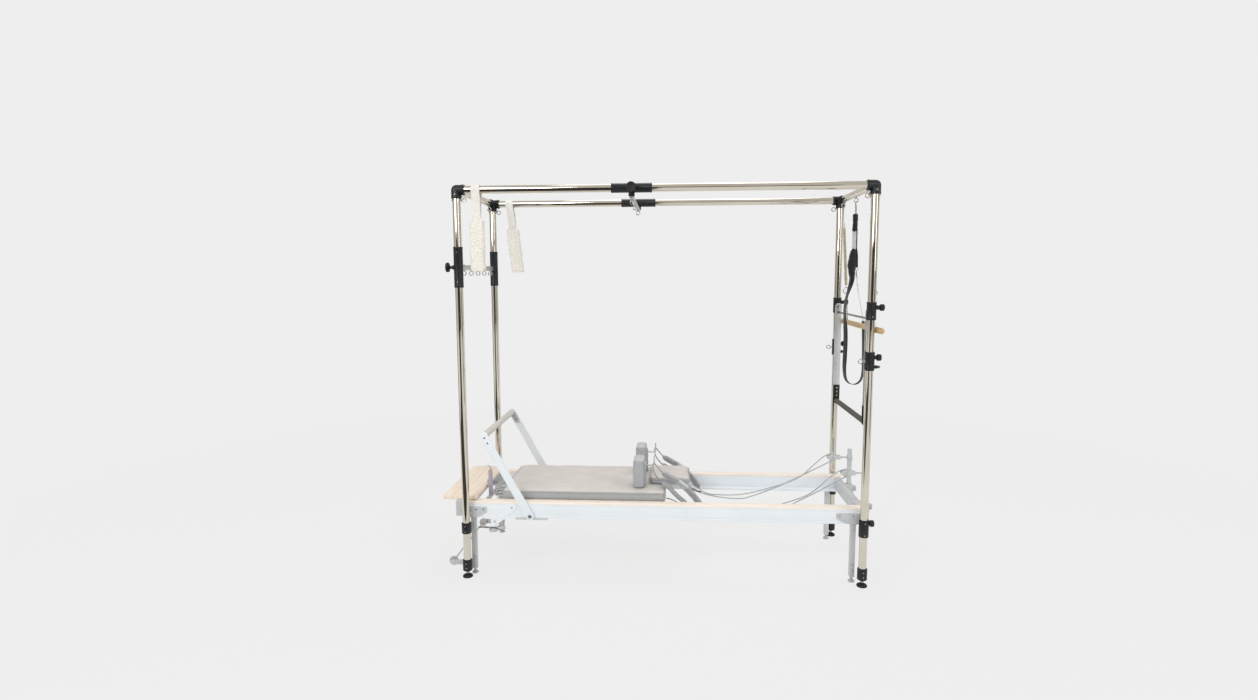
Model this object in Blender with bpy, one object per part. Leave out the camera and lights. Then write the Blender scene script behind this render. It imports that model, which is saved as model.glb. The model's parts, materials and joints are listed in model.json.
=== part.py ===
"""Four-post trapeze table: a chrome tube frame with its sliders, bars, straps and
springs, standing round a reformer bed. Metres, +Z up. Sizes are given from the point on the floor
midway between the four posts, with +X toward the push-through bar and -Y to the front; the
finished model is then moved so that its own box stands centred on the origin.
"""
import math

import bmesh
import bpy
from mathutils import Matrix, Vector

# Frame
POST_SPACING_X = 2.210      # between post axes along the bed
POST_SPACING_Y = 0.740      # between post axes across the bed
TUBE_OD = 0.042
TUBE_WALL = 0.002
RAIL_Z = 2.170              # axis of the top rails
SEAT_GAP = 0.0003           # between pieces that touch
SLIDE_GAP = 0.0005          # radial, a sleeve on its tube
HOOK_GAP = 0.0008           # between a hook and the ring that it hangs in
SLEEVE_OD = 0.050
CASTING_OD = 0.053
CASTING_REACH = 0.046       # from the corner to a casting's mouth
CASTING_FOOT = 0.041        # from the rail axis down to a casting's lower mouth
BOLT_HEAD_R = 0.0055
BOLT_HEAD_T = 0.004
LEFT_JOINER_Z = (0.260, 0.320)
RIGHT_JOINER_Z = (0.284, 0.379)
SOCKET_Z = (0.040, 0.104)
PAD_R = 0.0285
PAD_H = 0.012
STUD_R = 0.005
EYE_R = 0.0115              # centre line of an eyebolt's ring
EYE_WIRE_R = 0.0028
RAIL_EYE_SHANK = 0.006
POST_EYE_DROP = 0.053       # below the rail axis
RAIL_EYE_Y = (-0.287, 0.0, 0.287)

# Sliders on the frame
LEFT_SLIDER_DROP = 0.413    # below the rail axis
LEFT_SLEEVE_LENGTH = 0.220
LEFT_BAR_HEIGHT = 0.028
LEFT_BAR_THICK = 0.014
LEFT_EYE_PITCH = 0.136
CANOPY_X = -0.160
CANOPY_SLEEVE_LENGTH = 0.217
CANOPY_BAR_WIDTH = 0.024
CANOPY_BAR_THICK = 0.012
CANOPY_EYE_Y = 0.310
DISC_KNOB_R = 0.026
DISC_KNOB_T = 0.018
FLUTED_KNOB_R = 0.018
FLUTED_KNOB_T = 0.020

# Push-through bar
PUSH_PIVOT_DROP = 0.660      # below the rail axis
CARRIER_BELOW = 0.039        # sleeve, from the pivot
CARRIER_ABOVE = 0.056
PUSH_KNOB_RISE = 0.027
ARM_WIDTH = 0.040
ARM_THICK = 0.006
ARM_OUTER_Y = 0.331
ARM_LENGTH = 0.505          # pivot to the lower end of the flat bar
ARM_TOP = 0.022             # above the pivot
CROSS_ROD_R = 0.006
CROSS_ROD_DROP = 0.035      # below the pivot
PUSH_FOAM_R = 0.0155
PUSH_FOAM_DROP = 0.093      # below the lower end of the flat bar
BRACKET_LAP = 0.007         # bracket over the end of the flat bar
PUSH_BRACKET_THICK = 0.005
PIVOT_PIN_R = 0.006
PIN_CLEARANCE = 0.0003

# Spring collars on the right posts
COLLAR_EYE_DROP = 0.920     # below the rail axis
COLLAR_BELOW = 0.048        # sleeve, from the eye
COLLAR_ABOVE = 0.052
COLLAR_KNOB_RISE = 0.022
COLLAR_PIN_FALL = 0.029
PIN_NOSE_GAP = 0.0025       # between a pull pin's nose and the post

# Fleece hanging loops
LOOP_STRAP_WIDTH = 0.046
LOOP_STRAP_THICK = 0.006
FLEECE_WIDTH = 0.083
FLEECE_THICK = 0.040
FLEECE_DROP = 0.155         # below the rail axis
FLEECE_LENGTH = 0.281
FRONT_LOOP_INSET = 0.109     # from the left posts
REAR_LOOP_INSET = 0.113
REAR_LOOP_LEAN = math.radians(6.0)

# Roll-down bar and its springs
ROLL_BAR_OUT = 0.045        # from the right posts
ROLL_BAR_DROP = 0.755       # below the rail axis
ROLL_BAR_R = 0.016
ROLL_BAR_Y = (-0.415, 0.430)
ROLL_SPRING_Y = RAIL_EYE_Y[2]
ROLL_SPRING_LENGTH = 0.345
ROLL_SPRING_RISE = 0.225    # its lower end above the bar
ROLL_SPRING_R = 0.0085
ROLL_SPRING_WIRE = 0.0017
ROLL_SPRING_TURNS = 8

# Safety strap
STRAP_WIDTH = 0.038
STRAP_THICK = 0.003
SLEEVE_LENGTH = 0.100       # black sleeve under the carabiner
PALE_LENGTH = 0.106
SLING_LENGTH = 0.191
CARABINER_DROP = 0.124      # below the rail axis, to its lower end

# Reformer bed
RAIL_OUTER_Y = 0.335
RAIL_WIDTH = 0.062
BED_RAIL_Z = (0.340, 0.430)
BED_PAST_LEFT = 0.025       # bed rails past the posts
BED_PAST_RIGHT = 0.035
TRACK_DEPTH = 0.038         # ledge that the carriage wheels run on
TRACK_THICK = 0.012
WOOD_STRIP_T = 0.010
EXTRUSION_WALL = 0.004
PLATFORM_LENGTH = 0.200
PLATFORM_PAST = 0.130       # past the ends of the bed rails
PLATFORM_Z = (0.434, 0.454)
PLATFORM_HALF_Y = 0.310
LEG_SIZE = 0.028
LEFT_LEG_INSET = 0.052      # from the ends of the bed rails
RIGHT_LEG_INSET = 0.078
LEG_Y = 0.312
GLIDE_H = 0.028
TRANSPORT_WHEEL_R = 0.025
TRANSPORT_WHEEL_PAST = 0.075
TRANSPORT_WHEEL_Z = 0.067
CARRIAGE_INSET = 0.204
CARRIAGE_LENGTH = 0.948
CARRIAGE_CLEARANCE = 0.005  # between the board's edge and a rail
BOARD_Z = (0.405, 0.425)
PAD_THICK = 0.052
PAD_CROWN = 0.008
WHEEL_R = 0.022
WHEEL_W = 0.016
WHEEL_AXLE_R = 0.004
REST_THICK = 0.066
REST_SETBACK = 0.122        # from the carriage's head end
REST_WIDTH = 0.130
REST_INSET = 0.048          # from the carriage's edge
REST_POST_OFFSET = 0.060    # from the rest's inner side
HEADREST_SIZE = (0.240, 0.270, 0.036)
HEADREST_GAP = 0.025
REST_TOP_Z = 0.660
SPRING_BAR_INSET = 0.092
CARRIAGE_SPRING_Z = 0.386
CARRIAGE_SPRING_R = 0.0095
CARRIAGE_SPRING_WIRE = 0.0018
CARRIAGE_SPRING_TURNS = 6
CARRIAGE_SPRING_PITCH_Y = 0.062
CARRIAGE_SPRING_COUNT = 3
SPRING_ANCHOR_INSET = 0.330
FOOTBAR_PIVOT_INSET = 0.385
FOOTBAR_PIVOT_Z = 0.352
FOOTBAR_GRIP_INSET = 0.130
FOOTBAR_GRIP_Z = 0.815
FOOTBAR_GRIP_R = 0.0165
FOOTBAR_CORE_R = 0.010
FOOTBAR_ARM_WIDTH = 0.046
FOOTBAR_ARM_THICK = 0.010
GATE_THICK = 0.003
LEVER_INSET = 0.175
LEVER_OUT = 0.0085          # from a bed rail's outer face
RISER_PAST = 0.020          # past the ends of the bed rails
RISER_Y = 0.170
RISER_SIZE = 0.023
RISER_Z = (0.290, 0.635)
PULLEY_INSET = 0.085
PULLEY_Z = 0.582
PULLEY_R = 0.025
PULLEY_W = 0.012
ROPE_R = 0.0035
ROPE_SPAN = 1.033           # carriage to pulley that the rope's stops are given for

HALF_X = POST_SPACING_X / 2
HALF_Y = POST_SPACING_Y / 2
FRONT_LOOP_X = -HALF_X + FRONT_LOOP_INSET
REAR_LOOP_X = -HALF_X + REAR_LOOP_INSET
ROLL_BAR_X = HALF_X + ROLL_BAR_OUT
BED_RAIL_X = (-HALF_X - BED_PAST_LEFT, HALF_X + BED_PAST_RIGHT)
PLATFORM_X = (BED_RAIL_X[0] - PLATFORM_PAST, BED_RAIL_X[0] - PLATFORM_PAST + PLATFORM_LENGTH)
LEFT_LEG_X = BED_RAIL_X[0] + LEFT_LEG_INSET
RIGHT_LEG_X = BED_RAIL_X[1] - RIGHT_LEG_INSET
TRANSPORT_WHEEL_X = BED_RAIL_X[0] - TRANSPORT_WHEEL_PAST
CARRIAGE_X = (BED_RAIL_X[0] + CARRIAGE_INSET, BED_RAIL_X[0] + CARRIAGE_INSET + CARRIAGE_LENGTH)
REST_X = (CARRIAGE_X[1] - REST_SETBACK - REST_THICK, CARRIAGE_X[1] - REST_SETBACK)
SPRING_BAR_X = BED_RAIL_X[0] + SPRING_BAR_INSET
CARRIAGE_SPRING_END_X = BED_RAIL_X[0] + SPRING_ANCHOR_INSET
FOOTBAR_PIVOT = (BED_RAIL_X[0] + FOOTBAR_PIVOT_INSET, FOOTBAR_PIVOT_Z)
FOOTBAR_GRIP = (BED_RAIL_X[0] + FOOTBAR_GRIP_INSET, FOOTBAR_GRIP_Z)
LEVER_BOLT = (BED_RAIL_X[0] + LEVER_INSET, -RAIL_OUTER_Y - LEVER_OUT)
RISER_X = BED_RAIL_X[1] + RISER_PAST
PULLEY_X = BED_RAIL_X[1] - PULLEY_INSET
POST_EYE_Z = RAIL_Z - POST_EYE_DROP
LEFT_SLIDER_Z = RAIL_Z - LEFT_SLIDER_DROP
PUSH_PIVOT_Z = RAIL_Z - PUSH_PIVOT_DROP
CARRIER_Z = (PUSH_PIVOT_Z - CARRIER_BELOW, PUSH_PIVOT_Z + CARRIER_ABOVE)
PUSH_KNOB_Z = PUSH_PIVOT_Z + PUSH_KNOB_RISE
CROSS_ROD_Z = PUSH_PIVOT_Z - CROSS_ROD_DROP
FOAM_Z = PUSH_PIVOT_Z - ARM_LENGTH - PUSH_FOAM_DROP
PUSH_BRACKET_TOP = PUSH_PIVOT_Z - ARM_LENGTH + BRACKET_LAP
COLLAR_EYE_Z = RAIL_Z - COLLAR_EYE_DROP
COLLAR_Z = (COLLAR_EYE_Z - COLLAR_BELOW, COLLAR_EYE_Z + COLLAR_ABOVE)
COLLAR_KNOB_Z = COLLAR_EYE_Z + COLLAR_KNOB_RISE
COLLAR_PIN_Z = COLLAR_EYE_Z - COLLAR_PIN_FALL
FLEECE_TOP_Z = RAIL_Z - FLEECE_DROP
FLEECE_BOTTOM_Z = FLEECE_TOP_Z - FLEECE_LENGTH
ROLL_BAR_Z = RAIL_Z - ROLL_BAR_DROP
ROLL_SPRING_Z = (ROLL_BAR_Z + ROLL_SPRING_RISE,
                 ROLL_BAR_Z + ROLL_SPRING_RISE + ROLL_SPRING_LENGTH)
CARRIAGE_HALF_Y = RAIL_OUTER_Y - RAIL_WIDTH - CARRIAGE_CLEARANCE
REST_Y = (CARRIAGE_HALF_Y - REST_INSET - REST_WIDTH, CARRIAGE_HALF_Y - REST_INSET)
TUBE_R = TUBE_OD / 2
SLEEVE_R = SLEEVE_OD / 2
BORE_R = TUBE_R + SLIDE_GAP
SIDES = 12                  # facets round a tube
X_AXIS = Vector((1, 0, 0))
Y_AXIS = Vector((0, 1, 0))
Z_AXIS = Vector((0, 0, 1))

MATERIALS = {
    "chrome": ((0.60, 0.57, 0.53), 0.15, 1.0),
    "cast_black": ((0.015, 0.015, 0.016), 0.45, 0.0),
    "moulded_black": ((0.018, 0.018, 0.018), 0.55, 0.0),
    "steel": ((0.55, 0.55, 0.56), 0.30, 1.0),
    "aluminium": ((0.62, 0.64, 0.65), 0.40, 1.0),
    "foam": ((0.10, 0.10, 0.10), 0.90, 0.0),
    "fleece": ((0.82, 0.80, 0.75), 0.95, 0.0),
    "wood": ((0.62, 0.45, 0.28), 0.55, 0.0),
    "webbing": ((0.02, 0.02, 0.02), 0.85, 0.0),
    "bed_white": ((0.82, 0.85, 0.88), 0.45, 0.0),
    "bed_wood": ((0.90, 0.77, 0.64), 0.55, 0.0),
    "bed_grey": ((0.52, 0.52, 0.52), 0.50, 0.0),
    "bed_upholstery": ((0.60, 0.58, 0.56), 0.60, 0.0),
    "bed_metal": ((0.58, 0.58, 0.58), 0.40, 0.5),
    "bed_rope": ((0.46, 0.47, 0.49), 0.90, 0.0),
}


def clear_scene():
    """Start from an empty scene."""
    for thing in list(bpy.data.objects):
        bpy.data.objects.remove(thing, do_unlink=True)


def make_material(name):
    """One Principled material for a finish, made once and shared."""
    found = bpy.data.materials.get(name)
    if found:
        return found
    colour, roughness, metallic = MATERIALS[name]
    material = bpy.data.materials.new(name)
    material.use_nodes = True
    shader = material.node_tree.nodes["Principled BSDF"]
    shader.inputs["Base Color"].default_value = (*colour, 1.0)
    shader.inputs["Roughness"].default_value = roughness
    shader.inputs["Metallic"].default_value = metallic
    return material


def axis_matrix(origin, axis):
    """A matrix whose +Z lies along axis and whose origin is at origin."""
    turn = Vector(axis).normalized().to_track_quat("Z", "Y").to_matrix().to_4x4()
    return Matrix.Translation(Vector(origin)) @ turn


def turned(profile, origin, axis, sides=SIDES):
    """A body of revolution. profile is a closed loop of (radius, height) points,
    listed from the top down its outer side; a radius of 0 closes on the axis."""
    bm = bmesh.new()
    rings = []
    for radius, height in profile:
        if radius < 1e-9:
            rings.append([bm.verts.new((0, 0, height))])
        else:
            rings.append([bm.verts.new((radius * math.cos(2 * math.pi * k / sides),
                                        radius * math.sin(2 * math.pi * k / sides),
                                        height)) for k in range(sides)])
    closed = profile[0][0] > 1e-9
    pairs = list(zip(rings, rings[1:] + rings[:1])) if closed else list(zip(rings, rings[1:]))
    for upper, lower in pairs:
        for k in range(sides):
            n = (k + 1) % sides
            if len(upper) == 1:
                bm.faces.new((upper[0], lower[k], lower[n]))
            elif len(lower) == 1:
                bm.faces.new((upper[k], lower[0], upper[n]))
            else:
                bm.faces.new((upper[k], lower[k], lower[n], upper[n]))
    bmesh.ops.recalc_face_normals(bm, faces=bm.faces)
    bm.transform(axis_matrix(origin, axis))
    return bm


def rod(start, end, radius, sides=SIDES, chamfer=0.0):
    """A solid round bar between two points, its ends chamfered if asked."""
    start, end = Vector(start), Vector(end)
    length = (end - start).length
    if chamfer:
        profile = [(0, length), (radius - chamfer, length), (radius, length - chamfer),
                   (radius, chamfer), (radius - chamfer, 0), (0, 0)]
    else:
        profile = [(0, length), (radius, length), (radius, 0), (0, 0)]
    return turned(profile, start, end - start, sides)


def pipe(start, end, outer, inner, sides=SIDES, chamfer=0.0):
    """An open tube between two points, its outer edges chamfered if asked."""
    start, end = Vector(start), Vector(end)
    length = (end - start).length
    if chamfer:
        outside = [(outer - chamfer, length), (outer, length - chamfer),
                   (outer, chamfer), (outer - chamfer, 0)]
    else:
        outside = [(outer, length), (outer, 0)]
    return turned([(inner, length)] + outside + [(inner, 0)], start, end - start, sides)


def ring(centre, axis, radius, wire, segments=8, sides=4):
    """A torus of round wire."""
    bm = bmesh.new()
    loops = []
    for k in range(segments):
        turn = 2 * math.pi * k / segments
        out = Vector((math.cos(turn), math.sin(turn), 0))
        loops.append([bm.verts.new(out * (radius + wire * math.cos(2 * math.pi * j / sides))
                                   + Z_AXIS * wire * math.sin(2 * math.pi * j / sides))
                      for j in range(sides)])
    for k in range(segments):
        here, there = loops[k], loops[(k + 1) % segments]
        for j in range(sides):
            m = (j + 1) % sides
            bm.faces.new((here[j], there[j], there[m], here[m]))
    bmesh.ops.recalc_face_normals(bm, faces=bm.faces)
    bm.transform(axis_matrix(centre, axis))
    return bm


def block(low, high, bevel=0.0, segments=1):
    """A box between two corners, every edge rounded if a bevel is given."""
    low, high = Vector(low), Vector(high)
    bm = bmesh.new()
    size = high - low
    bmesh.ops.create_cube(bm, size=1.0)
    bm.transform(Matrix.Translation((low + high) / 2) @ Matrix.Diagonal((*size, 1.0)))
    if bevel:
        bmesh.ops.bevel(bm, geom=list(bm.edges), offset=bevel, segments=segments,
                        profile=0.5, affect="EDGES")
    return bm


def slab(outline, start, end, origin=(0, 0, 0), across=(1, 0, 0), up=(0, 0, 1)):
    """A flat outline, given in the plane of across and up, extruded along their
    normal from start to end."""
    across, up = Vector(across), Vector(up)
    normal = across.cross(up)
    bm = bmesh.new()
    base = [bm.verts.new(Vector(origin) + across * u + up * v + normal * start)
            for u, v in outline]
    face = bm.faces.new(base)
    grown = bmesh.ops.extrude_face_region(bm, geom=[face])
    moved = [item for item in grown["geom"] if isinstance(item, bmesh.types.BMVert)]
    bmesh.ops.translate(bm, verts=moved, vec=normal * (end - start))
    bmesh.ops.recalc_face_normals(bm, faces=bm.faces)
    return bm


def arc(centre, radius, first, last, count):
    """Points on an arc from the first to the last angle, in degrees."""
    steps = [math.radians(first + (last - first) * k / (count - 1)) for k in range(count)]
    return [(centre[0] + radius * math.cos(a), centre[1] + radius * math.sin(a)) for a in steps]


def rounded_outline(half_u, half_v, radius, count=4):
    """A rectangle with round corners, as points in order."""
    points = []
    for su, sv, first in ((1, 1, 0), (-1, 1, 90), (-1, -1, 180), (1, -1, 270)):
        centre = (su * (half_u - radius), sv * (half_v - radius))
        points += arc(centre, radius, first, first + 90, count)
    return points


def stadium(length, width, count=6):
    """A bar outline with round ends, from (0, 0) to (length, 0)."""
    r = width / 2
    return arc((length, 0), r, -90, 90, count) + arc((0, 0), r, 90, 270, count)


def as_object(bm, name):
    """Turn a bmesh into an object in the scene."""
    mesh = bpy.data.meshes.new(name)
    bm.to_mesh(mesh)
    bm.free()
    thing = bpy.data.objects.new(name, mesh)
    bpy.context.collection.objects.link(thing)
    return thing


def combine(first, others, operation):
    """Union with, or cut by, each of the others in turn, and give back one bmesh."""
    body = as_object(first, "body")
    for other in others:
        tool = as_object(other, "tool")
        step = body.modifiers.new(operation, "BOOLEAN")
        step.operation = operation
        step.solver = "EXACT"
        step.object = tool
        graph = bpy.context.evaluated_depsgraph_get()
        result = bmesh.new()
        result.from_mesh(body.evaluated_get(graph).to_mesh())
        bmesh.ops.remove_doubles(result, verts=result.verts, dist=2e-6)
        body.modifiers.clear()
        result.to_mesh(body.data)
        result.free()
        bpy.data.objects.remove(tool, do_unlink=True)
    result = bmesh.new()
    result.from_mesh(body.data)
    bpy.data.objects.remove(body, do_unlink=True)
    return result


def fused(first, *others):
    """One solid out of several that overlap."""
    return combine(first, others, "UNION")


def cut(body, *tools):
    """A solid with the tools' shapes taken out."""
    return combine(body, tools, "DIFFERENCE")


def copy_of(bm, matrix=Matrix.Identity(4)):
    """A moved copy of a bmesh; a mirrored one keeps its faces pointing out."""
    other = bm.copy()
    other.transform(matrix)
    if matrix.determinant() < 0:
        bmesh.ops.reverse_faces(other, faces=other.faces)
    return other


def mirror_y(bm):
    """The same piece on the other side of the bed."""
    return copy_of(bm, Matrix.Diagonal((1, -1, 1, 1)))


def mirror_x(bm):
    """The same piece at the other end of the bed."""
    return copy_of(bm, Matrix.Diagonal((-1, 1, 1, 1)))


def node(name, bm, finish, origin=(0, 0, 0), parent=None):
    """Make a named sub-part. Its mesh is given in world places and kept about origin."""
    bmesh.ops.triangulate(bm, faces=bm.faces)
    thing = as_object(bm, name)
    thing.data.materials.append(make_material(finish))
    thing.data.transform(Matrix.Translation(-Vector(origin)))
    thing.location = origin
    thing.data.shade_smooth()
    thing.data.set_sharp_from_angle(angle=math.radians(35))
    hang(thing, parent)
    return thing


def hang(thing, parent):
    """Parent an object without moving it."""
    if parent:
        thing.location = thing.location - parent.matrix_world.translation
        thing.parent = parent


def joint(name, origin, parent=None):
    """An empty on a joint's axis, which carries the pieces that move with it."""
    thing = bpy.data.objects.new(name, None)
    thing.empty_display_size = 0.05
    thing.location = origin
    bpy.context.collection.objects.link(thing)
    hang(thing, parent)
    bpy.context.view_layer.update()
    return thing


def eyebolt(point, direction, shank, ring_axis):
    """An eyebolt whose shank starts at point and runs along direction to its ring."""
    point, direction = Vector(point), Vector(direction).normalized()
    centre = point + direction * (shank + EYE_R)
    return fused(ring(centre, ring_axis, EYE_R, EYE_WIRE_R),
                 rod(point, point + direction * (shank + 0.3 * EYE_WIRE_R), EYE_WIRE_R, 6))


def post_eyebolt():
    """The eyebolt through a right post's top, and the nut on its far side."""
    return (eyebolt((HALF_X - TUBE_R + 0.001, HALF_Y, POST_EYE_Z), -X_AXIS, 0.009, Y_AXIS),
            nut((HALF_X + TUBE_R - 0.001, HALF_Y, POST_EYE_Z), X_AXIS))


def nut(point, direction):
    """A hexagon nut on a face, sunk into it by a millimetre."""
    point, direction = Vector(point), Vector(direction).normalized()
    return rod(point, point + direction * 0.006, 0.0055, 6)


def disc_knob(point, direction):
    """A clamp knob: a neck against its boss, and a round disc with a rolled edge."""
    top = 0.014 + DISC_KNOB_T
    profile = [(0, top + 0.002), (0.012, top + 0.002), (DISC_KNOB_R - 0.003, top),
               (DISC_KNOB_R, top - 0.004), (DISC_KNOB_R, 0.018), (DISC_KNOB_R - 0.003, 0.014),
               (0.010, 0.011), (0.008, 0.008), (0.008, 0), (0, 0)]
    return turned(profile, point, direction, 12)


def fluted_knob(point, direction, lobes=6):
    """A clamp knob with a fluted grip on a round neck."""
    neck = 0.008
    bm = turned([(0, neck + 0.002), (0.009, neck + 0.002), (0.009, 0), (0, 0)],
                (0, 0, 0), Z_AXIS, 10)
    outline = []
    for k in range(lobes * 4):
        turn = 2 * math.pi * k / (lobes * 4)
        radius = FLUTED_KNOB_R - 0.0012 * (1 - math.cos(lobes * turn))
        outline.append((radius * math.cos(turn), radius * math.sin(turn)))
    grip = slab(outline, neck, neck + FLUTED_KNOB_T, across=X_AXIS, up=Y_AXIS)
    bm = fused(bm, grip)
    bm.transform(axis_matrix(point, direction))
    return bm


def post(end):
    """A rear post: a tube with its joiner and foot socket, and the corner casting on top."""
    low, high = LEFT_JOINER_Z if end < 0 else RIGHT_JOINER_Z
    corner = Vector((HALF_X, HALF_Y, RAIL_Z))
    inner = TUBE_R - TUBE_WALL
    base, neck = SOCKET_Z
    profile = [(inner, RAIL_Z - 0.020), (TUBE_R, RAIL_Z - 0.020), (TUBE_R, high),
               (SLEEVE_R, high), (SLEEVE_R, low), (TUBE_R, low), (TUBE_R, neck),
               (SLEEVE_R, neck), (SLEEVE_R, base + 0.018), (0.014, base),
               (STUD_R + SLIDE_GAP, base), (STUD_R + SLIDE_GAP, base + 0.024),
               (inner, base + 0.024)]
    tube = turned(profile, (HALF_X, HALF_Y, 0), Z_AXIS)
    screws = [rod((HALF_X, HALF_Y + SLEEVE_R - 0.0015, z), (HALF_X, HALF_Y + SLEEVE_R + 0.003, z),
                  0.0045, 6) for z in (low + 0.014, high - 0.014)]
    body = fused(tube, *casting_arms(corner), *corner_bolts(), *screws, *post_eyebolt())
    bores = [rod(corner + way * (TUBE_R + 0.003), corner + way * (CASTING_REACH + 0.01),
                 TUBE_R + SEAT_GAP) for way in (-X_AXIS, -Y_AXIS)]
    body = cut(body, *bores)
    return mirror_x(body) if end < 0 else body


def casting_arms(corner):
    """The three round arms of a corner casting."""
    radius = CASTING_OD / 2
    ways = ((-X_AXIS, CASTING_REACH, radius), (-Y_AXIS, CASTING_REACH, radius - 0.0004),
            (-Z_AXIS, CASTING_FOOT, radius + 0.0004))
    return [rod(corner - way * width * 0.60, corner + way * reach, width)
            for way, reach, width in ways]


def corner_bolts():
    """The bolt heads of the right rear corner, over one socket and beside the other."""
    out = CASTING_OD / 2 - 0.001
    reach = CASTING_REACH - 0.012
    heads = []
    for base, way in (((HALF_X - reach, HALF_Y, RAIL_Z + out), Z_AXIS),
                      ((HALF_X + out, HALF_Y - reach, RAIL_Z), X_AXIS)):
        heads.append(rod(base, Vector(base) + way * (BOLT_HEAD_T + 0.001), BOLT_HEAD_R, 6))
    return heads


def top_rail():
    """The rear long rail, a chrome tube that ends inside the corner castings."""
    inset = TUBE_R + 0.004
    return pipe((-HALF_X + inset, HALF_Y, RAIL_Z), (HALF_X - inset, HALF_Y, RAIL_Z),
                TUBE_R, TUBE_R - TUBE_WALL)


def end_rail():
    """The right end rail with its row of hanging eyebolts."""
    inset = TUBE_R + 0.004
    tube = rod((HALF_X, -HALF_Y + inset, RAIL_Z), (HALF_X, HALF_Y - inset, RAIL_Z), TUBE_R)
    eyes = []
    for y in RAIL_EYE_Y:
        eyes.append(eyebolt((HALF_X, y, RAIL_Z - TUBE_R + 0.001), -Z_AXIS,
                            RAIL_EYE_SHANK + 0.001, Y_AXIS))
        eyes.append(nut((HALF_X, y, RAIL_Z + TUBE_R - 0.001), Z_AXIS))
    bore = rod((HALF_X, -HALF_Y, RAIL_Z), (HALF_X, HALF_Y, RAIL_Z), TUBE_R - TUBE_WALL)
    return cut(fused(tube, *eyes), bore)


def left_slider():
    """Two sleeves on the left posts, the bar between them and its row of eyebolts."""
    x, z = -HALF_X, LEFT_SLIDER_Z
    half = LEFT_SLEEVE_LENGTH / 2
    edge = HALF_Y - SLEEVE_R + 0.002
    bar = block((x - LEFT_BAR_THICK / 2, -edge, z - LEFT_BAR_HEIGHT / 2),
                (x + LEFT_BAR_THICK / 2, edge, z + LEFT_BAR_HEIGHT / 2), 0.002)
    boss = rod((x - SLEEVE_R + 0.003, -HALF_Y, z), (x - SLEEVE_R - 0.008, -HALF_Y, z), 0.012, 14)
    sleeve = rod((x, HALF_Y, z - half), (x, HALF_Y, z + half), SLEEVE_R)
    bore = rod((x, HALF_Y, z - half - 0.01), (x, HALF_Y, z + half + 0.01), BORE_R)
    front, front_bore = mirror_y(sleeve), mirror_y(bore)
    eyes = []
    for k in range(-2, 3):
        y = k * LEFT_EYE_PITCH
        eyes.append(eyebolt((x, y, z - LEFT_BAR_HEIGHT / 2 + 0.001), -Z_AXIS, 0.007, X_AXIS))
        eyes.append(nut((x, y, z + LEFT_BAR_HEIGHT / 2 - 0.001), Z_AXIS))
    return cut(fused(bar, boss, sleeve, front, *eyes), bore, front_bore)


def canopy_slider():
    """Two sleeves on the long rails and the flat bar that joins them underneath."""
    half = CANOPY_SLEEVE_LENGTH / 2
    x = CANOPY_X
    top = RAIL_Z - SLEEVE_R + 0.003
    outline = stadium(2 * HALF_Y, CANOPY_BAR_WIDTH)
    bar = slab(outline, 0, CANOPY_BAR_THICK, (x, -HALF_Y, top), Y_AXIS, X_AXIS)
    boss = rod((x, -HALF_Y - SLEEVE_R + 0.003, RAIL_Z), (x, -HALF_Y - SLEEVE_R - 0.008, RAIL_Z),
               0.012, 14)
    sleeve = rod((x - half, HALF_Y, RAIL_Z), (x + half, HALF_Y, RAIL_Z), SLEEVE_R)
    bore = rod((x - half - 0.01, HALF_Y, RAIL_Z), (x + half + 0.01, HALF_Y, RAIL_Z), BORE_R)
    front, front_bore = mirror_y(sleeve), mirror_y(bore)
    under = top - CANOPY_BAR_THICK
    eye = eyebolt((x, CANOPY_EYE_Y, under + 0.001), -Z_AXIS, 0.005, X_AXIS)
    return cut(fused(bar, boss, sleeve, front, eye), bore, front_bore)


def push_carrier():
    """The rear sleeve that carries the push-through bar: knob boss and pivot pin."""
    low, high = CARRIER_Z
    x = HALF_X
    sleeve = rod((x, HALF_Y, low), (x, HALF_Y, high), SLEEVE_R)
    boss = turned([(0, 0.030), (0.010, 0.030), (0.016, 0.018), (0.016, 0), (0, 0)],
                  (x + 0.008, HALF_Y, PUSH_KNOB_Z), X_AXIS, 10)
    head_y = ARM_OUTER_Y - ARM_THICK - 0.0005
    shoulder = rod((x, HALF_Y - 0.023, PUSH_PIVOT_Z), (x, ARM_OUTER_Y + SEAT_GAP, PUSH_PIVOT_Z),
                   0.012, 14)
    pin = rod((x, HALF_Y - 0.023, PUSH_PIVOT_Z), (x, head_y - 0.002, PUSH_PIVOT_Z),
              PIVOT_PIN_R, 16)
    head = rod((x, head_y, PUSH_PIVOT_Z), (x, head_y - 0.005, PUSH_PIVOT_Z), 0.010, 6)
    bore = rod((x, HALF_Y, low - 0.01), (x, HALF_Y, high + 0.01), BORE_R)
    return cut(fused(sleeve, boss, shoulder, pin, head), bore)


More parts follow.
